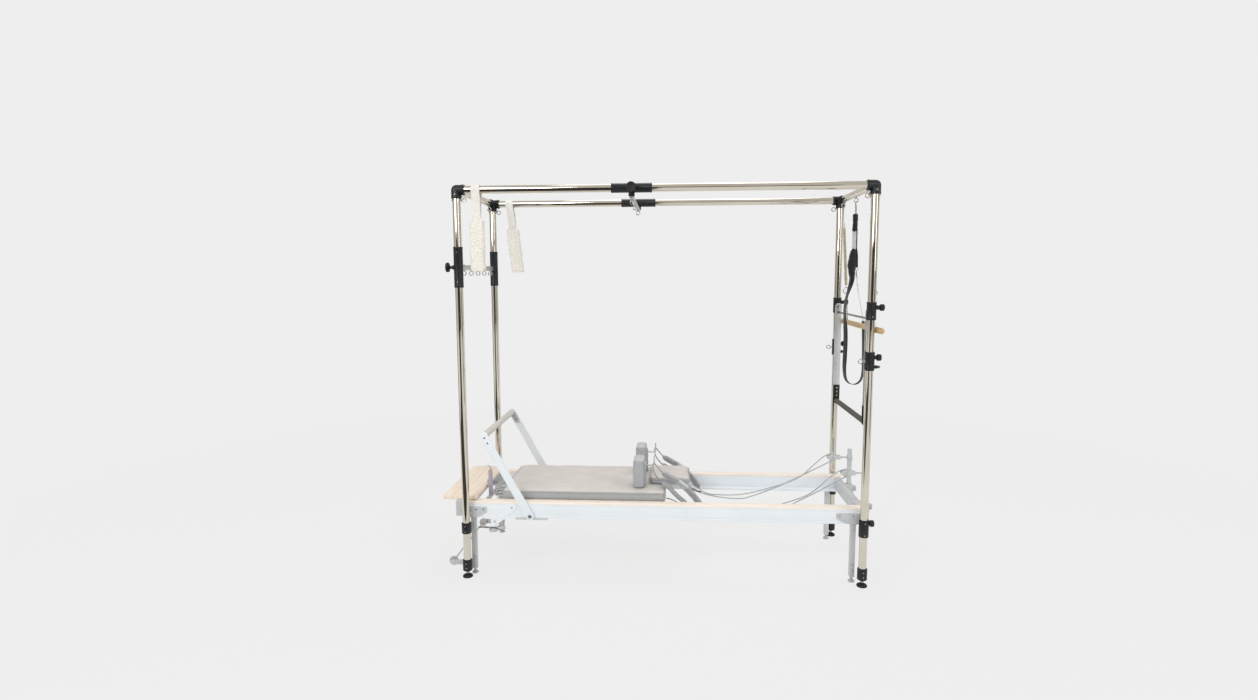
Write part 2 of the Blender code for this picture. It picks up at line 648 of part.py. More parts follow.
def push_bar():
    """The flat arms with their cross rod and end brackets, and the foam tube."""
    x = HALF_X
    low = PUSH_PIVOT_Z - ARM_LENGTH
    half = ARM_WIDTH / 2
    outline = [(-half, low), (half, low)] + arc((0, PUSH_PIVOT_Z + ARM_TOP - half), half, 0, 180, 7)
    arm = slab(outline, 0, ARM_THICK, (x, ARM_OUTER_Y, 0), X_AXIS, Z_AXIS)
    hole = rod((x, ARM_OUTER_Y + 0.01, PUSH_PIVOT_Z), (x, ARM_OUTER_Y - 0.02, PUSH_PIVOT_Z),
               PIVOT_PIN_R + PIN_CLEARANCE, 16)
    inner = ARM_OUTER_Y - ARM_THICK
    cross = rod((x, -inner - 0.002, CROSS_ROD_Z), (x, inner + 0.002, CROSS_ROD_Z),
                CROSS_ROD_R, 10)
    shape = ([(-half, PUSH_BRACKET_TOP), (-half, FOAM_Z)]
             + arc((0, FOAM_Z), half, 180, 360, 7) + [(half, PUSH_BRACKET_TOP)])
    plate = slab(shape, 0, PUSH_BRACKET_THICK + 0.001, (x, inner + 0.001, 0), X_AXIS, Z_AXIS)
    face = inner - PUSH_BRACKET_THICK
    bolts = [rod((x, face + 0.001, PUSH_BRACKET_TOP - drop), (x, face - 0.004,
                 PUSH_BRACKET_TOP - drop), 0.006, 6) for drop in (0.018, 0.042, 0.066)]
    side = cut(fused(arm, plate, *bolts), hole)
    other = mirror_y(side)
    end = face - SEAT_GAP
    foam = rod((x, -end, FOAM_Z), (x, end, FOAM_Z), PUSH_FOAM_R, 14, 0.003)
    return fused(side, other, cross), foam


def collar():
    """The rear spring collar: a sleeve with an eyebolt inward and two bosses outward."""
    low, high = COLLAR_Z
    x = HALF_X
    sleeve = rod((x, HALF_Y, low), (x, HALF_Y, high), SLEEVE_R)
    boss = rod((x + 0.010, HALF_Y, COLLAR_KNOB_Z), (x + SLEEVE_R + 0.006, HALF_Y, COLLAR_KNOB_Z),
               0.011, 14)
    barrel = rod((x + 0.010, HALF_Y, COLLAR_PIN_Z), (x + SLEEVE_R + 0.018, HALF_Y, COLLAR_PIN_Z),
                 0.009, 14)
    bore = rod((x, HALF_Y, low - 0.01), (x, HALF_Y, high + 0.01), BORE_R)
    well = rod((x + 0.005, HALF_Y, COLLAR_PIN_Z), (x + 0.060, HALF_Y, COLLAR_PIN_Z), 0.0046, 12)
    eye = eyebolt((x - SLEEVE_R + 0.001, HALF_Y, COLLAR_EYE_Z), -X_AXIS, 0.012, Y_AXIS)
    return cut(fused(sleeve, boss, barrel, eye), bore, well)


def collar_pin():
    """The rear collar's pull pin: a plunger with a small round head."""
    start = HALF_X + TUBE_R + PIN_NOSE_GAP
    head = HALF_X + SLEEVE_R + 0.019
    profile = [(0, head + 0.010 - start), (0.006, head + 0.010 - start),
               (0.0075, head + 0.008 - start), (0.0075, head - start), (0.004, head - start),
               (0.004, 0), (0, 0)]
    return turned(profile, (start, HALF_Y, COLLAR_PIN_Z), X_AXIS, 12)


def swept_loop(path, width, thickness, along):
    """A flat band that follows a closed path in a plane; width runs along `along`."""
    bm = bmesh.new()
    along = Vector(along).normalized()
    count = len(path)
    rows = []
    for k, point in enumerate(path):
        point = Vector(point)
        tangent = (Vector(path[(k + 1) % count]) - Vector(path[k - 1])).normalized()
        normal = tangent.cross(along)
        rows.append([bm.verts.new(point + along * u * width / 2 + normal * v * thickness / 2)
                     for u, v in ((1, 1), (1, -1), (-1, -1), (-1, 1))])
    for k in range(count):
        here, there = rows[k], rows[(k + 1) % count]
        for j in range(4):
            m = (j + 1) % 4
            bm.faces.new((here[j], there[j], there[m], here[m]))
    bmesh.ops.recalc_face_normals(bm, faces=bm.faces)
    return bm


def fleece_loop(x, side, lean):
    """A hanging loop: a strap over the long rail that runs down into a fleece sleeve."""
    clear = TUBE_R + 0.0015 + LOOP_STRAP_THICK / 2
    y = side * HALF_Y
    over = [(x, y + clear * math.cos(a), RAIL_Z + clear * math.sin(a))
            for a in (math.radians(20 * k) for k in range(-1, 11))]
    drop = FLEECE_TOP_Z + 0.030
    under = [(x, y - 0.006, drop), (x, y - 0.0065, FLEECE_TOP_Z - 0.02),
             (x, y + 0.0065, FLEECE_TOP_Z - 0.02), (x, y + 0.006, drop)]
    strap = swept_loop(over + under, LOOP_STRAP_WIDTH, LOOP_STRAP_THICK, X_AXIS)
    bm = bmesh.new()
    rows = []
    long = FLEECE_LENGTH
    heights = (0, 0.004, 0.030, long / 2, long - 0.030, long - 0.004, long)
    swell = (0.80, 0.93, 1.0, 0.97, 1.03, 0.95, 0.80)
    for rise, factor in zip(heights, swell):
        z = FLEECE_BOTTOM_Z + rise
        outline = rounded_outline(FLEECE_WIDTH / 2 * factor, FLEECE_THICK / 2 * factor,
                                  0.018 * factor)
        rows.append([bm.verts.new((x + u, y + v, z)) for u, v in outline])
    for lower, upper in zip(rows, rows[1:]):
        for k in range(len(lower)):
            n = (k + 1) % len(lower)
            bm.faces.new((lower[k], lower[n], upper[n], upper[k]))
    bm.faces.new(list(reversed(rows[0])))
    bm.faces.new(rows[-1])
    bmesh.ops.recalc_face_normals(bm, faces=bm.faces)
    body = fused(bm, strap)
    for vert in body.verts:
        vert.co.x += (RAIL_Z - vert.co.z) * math.tan(lean)
    return body


def curve_tube(name, points, radius, finish, resolution, parent=None):
    """A round tube along points, with closed ends."""
    curve = bpy.data.curves.new(name, "CURVE")
    curve.dimensions = "3D"
    curve.bevel_depth = radius
    curve.bevel_resolution = resolution
    curve.use_fill_caps = True
    curve.twist_mode = "MINIMUM"
    spline = curve.splines.new("POLY")
    spline.points.add(len(points) - 1)
    for slot, point in zip(spline.points, points):
        slot.co = (*point, 1.0)
    thing = bpy.data.objects.new(name, curve)
    thing.data.materials.append(make_material(finish))
    bpy.context.collection.objects.link(thing)
    hang(thing, parent)
    return thing


def smooth_route(stops, count):
    """Evenly spaced points on a smooth curve through the route's own stops."""
    stops = [Vector(stop) for stop in stops]
    stops = [stops[0] * 2 - stops[1]] + stops + [stops[-1] * 2 - stops[-2]]
    dense = []
    for p0, p1, p2, p3 in zip(stops, stops[1:], stops[2:], stops[3:]):
        for k in range(24):
            t = k / 24
            dense.append(0.5 * (2 * p1 + (p2 - p0) * t + (2 * p0 - 5 * p1 + 4 * p2 - p3) * t * t
                                + (3 * p1 - p0 - 3 * p2 + p3) * t ** 3))
    dense.append(stops[-2])
    lengths = [0.0]
    for a, b in zip(dense, dense[1:]):
        lengths.append(lengths[-1] + (b - a).length)
    points, here = [], 0
    for k in range(count):
        goal = lengths[-1] * k / (count - 1)
        while here < len(dense) - 2 and lengths[here + 1] < goal:
            here += 1
        span = lengths[here + 1] - lengths[here]
        points.append(dense[here].lerp(dense[here + 1], (goal - lengths[here]) / span))
    return points


def spring_points(start, end, radius, wire, turns, per_turn=8):
    """A helix between two points with a straight tail on the axis at each end."""
    start, end = Vector(start), Vector(end)
    axis = (end - start).normalized()
    side = axis.orthogonal().normalized()
    other = axis.cross(side)
    tail = wire * 8
    length = (end - start).length - 2 * tail
    total = turns * per_turn
    points = [start, start + axis * tail * 0.6]
    for k in range(total + 1):
        turn = 2 * math.pi * k / per_turn
        points.append(start + axis * (tail + length * k / total)
                      + (side * math.cos(turn) + other * math.sin(turn)) * radius)
    return points + [end - axis * tail * 0.6, end]


def bed_rail():
    """The rear side rail with its wheel track and wood strip, on its two legs, with the
    brackets that tie it to the posts and the footbar's gate on its outer face."""
    low, high = BED_RAIL_Z
    outer, inner = RAIL_OUTER_Y, RAIL_OUTER_Y - RAIL_WIDTH
    top = high - WOOD_STRIP_T
    groove = 0.0015
    outline = [(outer, low), (outer, low + 0.012), (outer - groove, low + 0.013),
               (outer - groove, low + 0.017), (outer, low + 0.018), (outer, top - 0.014),
               (outer - groove, top - 0.013), (outer - groove, top - 0.009),
               (outer, top - 0.008), (outer, top), (inner, top), (inner, low + TRACK_THICK),
               (inner - TRACK_DEPTH, low + TRACK_THICK), (inner - TRACK_DEPTH, low)]
    rail = slab(outline, *BED_RAIL_X, across=Y_AXIS, up=Z_AXIS)
    wall = EXTRUSION_WALL
    bore = block((BED_RAIL_X[0] - 0.01, inner + wall, low + wall),
                 (BED_RAIL_X[1] + 0.01, outer - wall, top - wall))
    rail = cut(rail, bore)
    strip = block((BED_RAIL_X[0] + 0.002, inner + 0.002, top - 0.002),
                  (BED_RAIL_X[1] - 0.002, outer - 0.002, high), 0.002)
    return fused(rail, strip, *leg(RIGHT_LEG_X), *leg(LEFT_LEG_X), wheel_arm(),
                 tie_bracket(1), tie_bracket(-1), *footbar_gate())


def leg(x):
    """A rear leg under the side rail, and the glide that it stands on."""
    half = LEG_SIZE / 2
    upright = block((x - half, LEG_Y - half, GLIDE_H), (x + half, LEG_Y + half,
                    BED_RAIL_Z[0] + 0.002))
    glide = turned([(0, GLIDE_H + 0.002), (0.006, GLIDE_H + 0.002), (0.006, 0.012),
                    (0.018, 0.008), (0.018, 0), (0, 0)], (x, LEG_Y, 0), Z_AXIS, 10)
    return upright, glide


def wheel_arm():
    """The plate that carries a transport wheel, out from the foot end's leg."""
    reach = LEFT_LEG_X - TRANSPORT_WHEEL_X
    place = (TRANSPORT_WHEEL_X, LEG_Y + 0.012, TRANSPORT_WHEEL_Z)
    plate = slab(stadium(reach, 0.030), 0, 0.006, place, X_AXIS, Z_AXIS)
    hole = rod((place[0], place[1] - 0.02, place[2]), (place[0], place[1] + 0.02, place[2]),
               WHEEL_AXLE_R + SLIDE_GAP, 12)
    return cut(plate, hole)


def foot_beam():
    """The beam across the foot end, under the standing platform."""
    low = Vector((BED_RAIL_X[0] - 0.045, -RAIL_OUTER_Y, BED_RAIL_Z[0] + 0.005))
    high = Vector((BED_RAIL_X[0] - SEAT_GAP, RAIL_OUTER_Y, PLATFORM_Z[0] - SEAT_GAP))
    wall = Vector((EXTRUSION_WALL, -0.01, EXTRUSION_WALL))
    return cut(block(low, high, 0.003), block(low + wall, high - wall))


def tie_bracket(end):
    """A flat bracket on the rear rail's outer face, with a tab against the post."""
    face = RAIL_OUTER_Y - 0.001
    low = BED_RAIL_Z[0] + 0.004
    first, last = (0.965, 1.092) if end > 0 else (0.995, 1.092)
    stop = HALF_Y - SLEEVE_R - SEAT_GAP if end > 0 else HALF_Y - TUBE_R - SEAT_GAP
    outline = [(first, low + 0.028), (first + 0.05, low), (last, low), (last, low + 0.058),
               (first, low + 0.058)]
    plate = slab([(end * u, v) for u, v in outline], 0, -0.005, (0, face, 0), X_AXIS, Z_AXIS)
    near, far = sorted((end * (last - 0.01), end * (HALF_X + 0.013)))
    tab = block((near, face, low + 0.008), (far, stop, low + 0.030))
    bolts = [rod((end * x, face + 0.002, low + 0.043), (end * x, face + 0.008, low + 0.043),
                 0.006, 6) for x in (first + 0.018, last - 0.038)]
    return fused(plate, tab, *bolts)


def footbar_gate():
    """The rear gate's solids: strut plate with its lug, stop rack, and pivot pin."""
    face = RAIL_OUTER_Y - 0.001
    outer = RAIL_OUTER_Y + SEAT_GAP + GATE_THICK
    thick = outer - face
    start = Vector((BED_RAIL_X[0] + 0.280, 0, 0.400))
    end = Vector((BED_RAIL_X[0] + 0.180, 0, 0.318))
    way = (end - start).normalized()
    strut = slab(stadium((end - start).length, 0.048), 0, thick, (start.x, face, start.z),
                 way, Y_AXIS.cross(way))
    bolt = LEVER_BOLT[0]
    lug = block((bolt - 0.012, face + 0.0015, 0.2895), (bolt + 0.012, face + 0.017, 0.309))
    px, pz = FOOTBAR_PIVOT
    rack = block((px - 0.085, face, pz - 0.022), (px + 0.100, outer, pz - 0.010))
    plate = rod((px, face, pz), (px, outer, pz), 0.020, 12)
    out = outer + FOOTBAR_ARM_THICK + 0.001
    pin = rod((px, face, pz), (px, out + 0.003, pz), 0.008, 12)
    head = rod((px, out, pz), (px, out + 0.004, pz), 0.012, 6)
    return strut, lug, rack, plate, pin, head


def footbar():
    """The footbar's two arms, corner caps and core tube, and the foam over the tube."""
    pivot = Vector((FOOTBAR_PIVOT[0], 0, FOOTBAR_PIVOT[1]))
    grip = Vector((FOOTBAR_GRIP[0], 0, FOOTBAR_GRIP[1]))
    way = (grip - pivot).normalized()
    y = RAIL_OUTER_Y + SEAT_GAP + GATE_THICK + 0.0004
    up = Y_AXIS.cross(way)
    length = (grip - pivot).length
    arm = slab(stadium(length, FOOTBAR_ARM_WIDTH), 0, FOOTBAR_ARM_THICK, (pivot.x, y, pivot.z),
               way, up)
    hole = rod((pivot.x, y - 0.02, pivot.z), (pivot.x, y + 0.03, pivot.z), 0.0086, 12)
    cap = slab(stadium(0.062, 0.036), 0, -0.009,
               (grip.x - way.x * 0.062, y + 0.001, grip.z - way.z * 0.062), way, up)
    bolts = [rod(Vector((grip.x, y - 0.006, grip.z)) - way * (0.030 + 0.026 * k),
                 Vector((grip.x, y - 0.012, grip.z)) - way * (0.030 + 0.026 * k), 0.007, 6)
             for k in range(2)]
    side = cut(fused(arm, cap, *bolts), hole)
    other = mirror_y(side)
    core = rod((grip.x, -y, grip.z), (grip.x, y, grip.z), FOOTBAR_CORE_R, 14)
    stop = y - 0.008 - SEAT_GAP
    foam = pipe((grip.x, -stop, grip.z), (grip.x, stop, grip.z), FOOTBAR_GRIP_R,
                FOOTBAR_CORE_R + SEAT_GAP, 14, 0.003)
    return fused(side, other, core), foam


def footbar_lever():
    """The front lock lever: a waved flat bar with a grip, and the knob on its bolt."""
    x, y = LEVER_BOLT
    wave = [(x - 0.090 + 0.010 * k, 0.2845 + 0.0022 * math.sin(k * 0.9)) for k in range(13)]
    thick = 0.0022
    outline = [(u, v - thick) for u, v in wave] + [(u, v + thick) for u, v in reversed(wave)]
    bar = slab(outline, -0.008, 0.008, (0, y, 0), X_AXIS, Z_AXIS)
    end = wave[-1]
    profile = [(0, 0.046), (0.006, 0.045), (0.009, 0.036), (0.009, 0.020), (0.006, 0.002),
               (0, 0)]
    grip = turned(profile, (end[0] - 0.008, y, end[1]), X_AXIS, 10)
    return fused(bar, grip, disc_knob((x, y, 0.2835), -Z_AXIS))


def cushion(low, high, crown, draw, corner=0.020):
    """A pad with round corners: its sides draw in between them and its top is crowned."""
    low, high = Vector(low), Vector(high)
    middle = (low + high) / 2
    half = (high - low) / 2
    corner = min(corner, half.x * 0.6, half.y * 0.6)
    tall = high.z - low.z
    levels = ((0.003, 0.0), (0.0, 0.12), (0.0, 0.62), (0.0015, 0.85), (0.007, 0.98))
    rows = []
    bm = bmesh.new()

    def outline(inset, pull):
        points = []
        for su, sv, first in ((1, 1, 0), (-1, 1, 90), (-1, -1, 180), (1, -1, 270)):
            centre = (su * (half.x - corner), sv * (half.y - corner))
            points += arc(centre, corner - min(inset, corner * 0.8), first, first + 90, 3)
            ends = {0: (-1, 1), 90: (-1, -1), 180: (1, -1), 270: (1, 1)}[first]
            there = (ends[0] * (half.x - corner), ends[1] * (half.y - corner))
            out = {0: (0, 1), 90: (-1, 0), 180: (0, -1), 270: (1, 0)}[first]
            reach = corner - min(inset, corner * 0.8)
            for k in range(1, 4):
                t = k / 4
                away = reach - pull * math.sin(math.pi * t)
                points.append((centre[0] + (there[0] - centre[0]) * t + out[0] * away,
                               centre[1] + (there[1] - centre[1]) * t + out[1] * away))
        return points

    for inset, rise in levels:
        rows.append([bm.verts.new((middle.x + u, middle.y + v, low.z + tall * rise))
                     for u, v in outline(inset, draw)])
    for step in range(1, 3):
        share = step / 3
        row = []
        for u, v in outline(0.007, draw):
            dome = 1 - (1 - share) ** 2
            row.append(bm.verts.new((middle.x + u * (1 - share * 0.9),
                                     middle.y + v * (1 - share * 0.9), high.z + crown * dome)))
        rows.append(row)
    for lower, upper in zip(rows, rows[1:]):
        for k in range(len(lower)):
            n = (k + 1) % len(lower)
            bm.faces.new((lower[k], lower[n], upper[n], upper[k]))
    bm.faces.new(list(reversed(rows[0])))
    bm.faces.new(rows[-1])
    bmesh.ops.recalc_face_normals(bm, faces=bm.faces)
    return bm


def carriage_frame():
    """The carriage board with its bored wheel hangers and its spring anchor."""
    low, high = BOARD_Z
    axle_z = wheel_axle_z()
    edge = RAIL_OUTER_Y - RAIL_WIDTH - TRACK_DEPTH
    board = block((CARRIAGE_X[0] + 0.004, -CARRIAGE_HALF_Y, low),
                  (CARRIAGE_X[1], CARRIAGE_HALF_Y, high), 0.003)
    anchor = block((CARRIAGE_SPRING_END_X + SEAT_GAP, -0.125, CARRIAGE_SPRING_Z - 0.012),
                   (CARRIAGE_SPRING_END_X + 0.012, 0.125, low + 0.005))
    hangers, bores = [], []
    for x in wheel_places():
        bores.append(rod((x, -CARRIAGE_HALF_Y, axle_z), (x, CARRIAGE_HALF_Y, axle_z),
                         WHEEL_AXLE_R + SLIDE_GAP, 12))
        for side in (-1, 1):
            near, far = sorted((side * (edge - 0.003), side * (edge + 0.003)))
            hangers.append(block((x - 0.014, near, axle_z - 0.009), (x + 0.014, far, low + 0.005)))
    return cut(fused(board, anchor, *hangers), *bores)


def wheel_axle_z():
    """The height of the carriage axles: the wheels stand on the track."""
    return BED_RAIL_Z[0] + TRACK_THICK + SEAT_GAP + WHEEL_R


def build_carriage():
    """The carriage on its wheels, with its pads, rests and springs."""
    carriage = joint("carriage_axis", (CARRIAGE_X[0], 0, BOARD_Z[0]))
    node("carriage_frame", carriage_frame(), "bed_wood", parent=carriage)
    node("carriage_pad", carriage_pad(), "bed_upholstery", parent=carriage)
    rest = shoulder_rest()
    node("front_shoulder_rest", mirror_y(rest), "bed_upholstery", parent=carriage)
    node("rear_shoulder_rest", rest, "bed_upholstery", parent=carriage)
    cushion_body, low = headrest()
    tilt = joint("headrest_axis", (REST_X[1] + HEADREST_GAP, 0, low), carriage)
    node("headrest", cushion_body, "bed_upholstery", parent=tilt)
    edge = RAIL_OUTER_Y - RAIL_WIDTH - TRACK_DEPTH
    for x, name in zip(wheel_places(), ("foot", "head")):
        wheels = wheel_set(x, wheel_axle_z(), edge + 0.0035 + WHEEL_W / 2, WHEEL_R, WHEEL_W)
        node(f"{name}_wheel_set", wheels, "bed_grey", (x, 0, wheel_axle_z()), carriage)

    start, end = SPRING_BAR_X + 0.007 + SEAT_GAP, CARRIAGE_SPRING_END_X
    for number, y in enumerate(carriage_spring_rows(), 1):
        points = spring_points((start, y, CARRIAGE_SPRING_Z), (end, y, CARRIAGE_SPRING_Z),
                               CARRIAGE_SPRING_R, CARRIAGE_SPRING_WIRE, CARRIAGE_SPRING_TURNS)
        curve_tube(f"carriage_spring_{number}", points, CARRIAGE_SPRING_WIRE, "bed_metal", 1)
    gap = 1000 * least_gap(points, CARRIAGE_SPRING_WIRE, 6)
    print("least gap in a carriage spring:", round(gap, 2), "mm")


def wheel_places():
    """Where the two wheel sets sit along the bed, clear of the springs and their anchor."""
    return CARRIAGE_SPRING_END_X + 0.030, CARRIAGE_X[1] - 0.070


def carriage_pad():
    """The upholstered carriage top, with a slot for each shoulder rest's post."""
    low = BOARD_Z[1] + SEAT_GAP
    pad = cushion((CARRIAGE_X[0], -CARRIAGE_HALF_Y, low),
                  (CARRIAGE_X[1], CARRIAGE_HALF_Y, low + PAD_THICK), PAD_CROWN, 0.004, 0.025)
    y = REST_Y[0] + REST_POST_OFFSET
    slot = block((REST_X[1] - 0.006, y - 0.014, low - 0.02),
                 (REST_X[1] + 0.011, y + 0.024, low + 0.2))
    return cut(pad, slot, mirror_y(slot))


def wheel_set(x, z, y, radius, width):
    """Two wheels on one through axle, the outer one centred y from the middle."""
    half = width / 2
    wheels = [rod((x, side * (y - half), z), (x, side * (y + half), z), radius, 16)
              for side in (-1, 1)]
    reach = y + half + 0.012
    return fused(rod((x, -reach, z), (x, reach, z), WHEEL_AXLE_R, 8), *wheels)


def pulley(centre):
    """A bored pulley with a rope groove."""
    half, bore, rim = PULLEY_W / 2, WHEEL_AXLE_R + SLIDE_GAP, PULLEY_R
    floor = rim - 0.0055
    profile = [(bore, half), (rim - 0.001, half), (rim, half - 0.001), (floor, half - 0.0035),
               (floor, -half + 0.0035), (rim, -half + 0.001), (rim - 0.001, -half),
               (bore, -half)]
    return turned(profile, centre, Y_AXIS, 12)


def shoulder_rest():
    """The rear shoulder rest: its pad, its post and the peg for a hand loop."""
    top = BOARD_Z[1] + SEAT_GAP
    pad = cushion((REST_X[0], REST_Y[0], top + PAD_THICK + PAD_CROWN + 0.002),
                  (REST_X[1], REST_Y[1], REST_TOP_Z - 0.004), 0.004, 0.002, 0.018)
    back = REST_X[1] - 0.004
    y, peg_x, high = REST_Y[0] + REST_POST_OFFSET, back + 0.059, REST_TOP_Z - 0.054
    upright = block((back, y - 0.010, top), (back + 0.012, y + 0.020, high + 0.019))
    arm = rod((back + 0.006, y, high), (peg_x + 0.001, y, high), 0.005, 10)
    peg = rod((peg_x, y, high - 0.005), (peg_x, y, high + 0.059), 0.004, 10)
    hook = rod((peg_x, y - 0.001, high + 0.011), (peg_x, y + 0.045, high + 0.011), 0.005, 10)
    return fused(pad, upright, arm, peg, hook)


def headrest():
    """The headrest cushion with its hinge barrel, which lies on the carriage pad."""
    low = BOARD_Z[1] + SEAT_GAP + PAD_THICK + PAD_CROWN + 0.002
    long, wide, tall = HEADREST_SIZE
    start = REST_X[1] + HEADREST_GAP
    pad = cushion((start, -wide / 2, low), (start + long, wide / 2, low + tall), 0.006, 0.004)
    return pad, low


def rope_points(side):
    """A rope: from its hand loop down and up to the pulley, round it, and back to the
    carriage. The stops give the distance before the pulley; the turn is an arc."""
    upper = [(0.8115, 0.1745, 0.35), (0.736, 0.17, 0.33), (0.567, 0.163, 0.335),
             (0.415, 0.16, 0.372), (0.257, 0.16, 0.425), (0.184, 0.162, 0.466),
             (0.1, 0.166, 0.545), (0.05, 0.17, 0.587)]
    lower = [(0.019, 0.17, 0.55), (0.086, 0.174, 0.513), (0.159, 0.178, 0.473),
             (0.269, 0.181, 0.415), (0.33, 0.182, 0.384), (0.485, 0.181, 0.322),
             (0.579, 0.18, 0.302), (0.743, 0.178, 0.319), (0.905, 0.174, 0.368),
             (0.995, 0.171, 0.406)]
    stretch = (PULLEY_X - CARRIAGE_X[1]) / ROPE_SPAN
    upper = [(PULLEY_X - back * stretch, y, z) for back, y, z in upper]
    lower = [(PULLEY_X - back * stretch, y, z) for back, y, z in lower]
    lower.append((CARRIAGE_X[1] + 0.002, 0.170, 0.416))
    bend = PULLEY_R - 0.0015
    turn = [(PULLEY_X + bend * math.cos(math.radians(a)), RISER_Y,
             PULLEY_Z + bend * math.sin(math.radians(a))) for a in range(125, -126, -25)]
    route = smooth_route(upper, 12) + [Vector(p) for p in turn] + smooth_route(lower, 13)
    return [(p[0], side * p[1], p[2]) for p in route]


def head_beam():
    """The beam across the head end with its two clamps, risers and pulley blocks."""
    inner = RAIL_OUTER_Y - RAIL_WIDTH - SEAT_GAP
    low, high = BED_RAIL_Z
    beam = block((BED_RAIL_X[1] - 0.045, -inner, low + TRACK_THICK + SEAT_GAP),
                 (BED_RAIL_X[1] - 0.005, inner, high - WOOD_STRIP_T), 0.002)
    pieces = list(riser())
    return fused(beam, *pieces, *[mirror_y(piece) for piece in pieces])


def riser():
    """The rear riser post in its clamp with the clamp's knob, and its pulley block."""
    x, y = RISER_X, RISER_Y
    half = RISER_SIZE / 2
    low, high = RISER_Z
    upright = block((x - half, y - half, low), (x + half, y + half, high), 0.002)
    cheeks = [slab(stadium(0.045, 0.026), a, a + 0.002, (PULLEY_X, y, PULLEY_Z), X_AXIS, Z_AXIS)
              for a in (-0.0092, 0.0072)]
    bridge = block((PULLEY_X + 0.040, y - 0.0088, PULLEY_Z - 0.008),
                   (PULLEY_X + 0.052, y + 0.0088, PULLEY_Z + 0.008))
    stem = rod((PULLEY_X + 0.046, y, PULLEY_Z), (x - half + 0.004, y, PULLEY_Z), 0.004, 10)
    axle = rod((PULLEY_X, y - 0.0088, PULLEY_Z), (PULLEY_X, y + 0.0088, PULLEY_Z),
               WHEEL_AXLE_R, 10)
    out = x + half + 0.012
    clamp = block((BED_RAIL_X[1] - 0.008, y - 0.028, 0.360), (out, y + 0.028, 0.412))
    knob = fluted_knob((out - 0.001, y, 0.386), X_AXIS)
    return upright, stem, bridge, axle, *cheeks, clamp, knob


def spring_bar():
    """The bar that holds the carriage springs, with its upright handle and hook."""
    x = SPRING_BAR_X
    inner = RAIL_OUTER_Y - RAIL_WIDTH - SEAT_GAP
    bar = block((x - 0.007, -inner, CARRIAGE_SPRING_Z - 0.012),
                (x + 0.007, inner, CARRIAGE_SPRING_Z + 0.012))
    upright = block((x - 0.010, -0.100, CARRIAGE_SPRING_Z), (x + 0.010, -0.072, 0.545))
    stem = rod((x, -0.086, 0.540), (x, -0.086, 0.5705), 0.0030, 8)
    hook = rod((x + 0.0042, -0.086, 0.570), (x - 0.030, -0.086, 0.570), 0.0036, 8)
    knob = rod((x - 0.008, -0.086, 0.474), (x - 0.020, -0.086, 0.474), 0.012, 12)
    return fused(bar, upright, stem, hook, knob)


def carriage_spring_rows():
    """The Y place of each carriage spring, spread evenly about the middle."""
    middle = (CARRIAGE_SPRING_COUNT - 1) / 2
    return [(k - middle) * CARRIAGE_SPRING_PITCH_Y for k in range(CARRIAGE_SPRING_COUNT)]


def leaned(point):
    """A point of the hanging roll-down bar, leant out from its hooks to the posts' face."""
    top = Vector((HALF_X, 0, roll_hook_z()))
    lean = math.atan2(ROLL_BAR_X - HALF_X, top.z - ROLL_BAR_Z)
    return top + Matrix.Rotation(-lean, 3, "Y") @ (Vector(point) - top)


def roll_hook_z():
    """The height where a hook rests inside an eyebolt under the end rail."""
    centre = RAIL_Z - TUBE_R - RAIL_EYE_SHANK - EYE_R
    return centre - EYE_R + EYE_WIRE_R + ROLL_SPRING_WIRE + HOOK_GAP


def roll_spring_points(side):
    """One extension spring: a hook through the eyebolt, a shank, the coil and a tail."""
    y = side * ROLL_SPRING_Y
    x, top = HALF_X, roll_hook_z()
    hook = [(x, y + 0.006 * math.cos(a), top - 0.006 + 0.006 * math.sin(a))
            for a in (math.radians(40 * k) for k in range(-1, 5))]
    hook.append((x, y - 0.004, top - 0.014))
    coil = spring_points((x, y, ROLL_SPRING_Z[1] + 0.025), (x, y, ROLL_SPRING_Z[0] - 0.010),
                         ROLL_SPRING_R, ROLL_SPRING_WIRE, ROLL_SPRING_TURNS)
    return [leaned(p) for p in hook + [tuple(p) for p in coil]]


def carabiner():
    """The long wire ring that hangs the strap in the middle eyebolt."""
    top, low = roll_hook_z() + 0.0007, RAIL_Z - CARABINER_DROP
    half, wire = 0.010, 0.0024
    path = arc((0, top - half), half, 0, 180, 7) + arc((0, low + half), half, 180, 360, 7)
    bm = bmesh.new()
    rows = []
    count = len(path)
    for k, (u, v) in enumerate(path):
        ahead, behind = path[(k + 1) % count], path[k - 1]
        way = Vector((0, ahead[0] - behind[0], ahead[1] - behind[1])).normalized()
        out = way.cross(X_AXIS)
        rows.append([bm.verts.new(Vector((HALF_X, u, v)) + out * wire * math.cos(a)
                                  + X_AXIS * wire * math.sin(a))
                     for a in (math.radians(60 * j) for j in range(6))])
    for k in range(count):
        here, there = rows[k], rows[(k + 1) % count]
        for j in range(6):
            m = (j + 1) % 6
            bm.faces.new((here[j], there[j], there[m], here[m]))
    bmesh.ops.recalc_face_normals(bm, faces=bm.faces)
    return bm


def strap_buckles():
    """The two slide buckles on the strap's loop, below the sling."""
    (x, z), (end_x, end_z) = strap_band_path()[15], strap_band_path()[17]
    start, end = Vector((x, 0, z)), Vector((end_x, 0, end_z))
    way = (end - start).normalized()
    out = Y_AXIS.cross(way)
    plates = []
    for share in (0.60, 0.88):
        centre = start.lerp(end, share) + out * STRAP_THICK / 2
        plates.append(slab(rounded_outline(0.006, 0.023, 0.003, 2), -0.0015, 0.0025, centre,
                           way, Y_AXIS))
    return plates


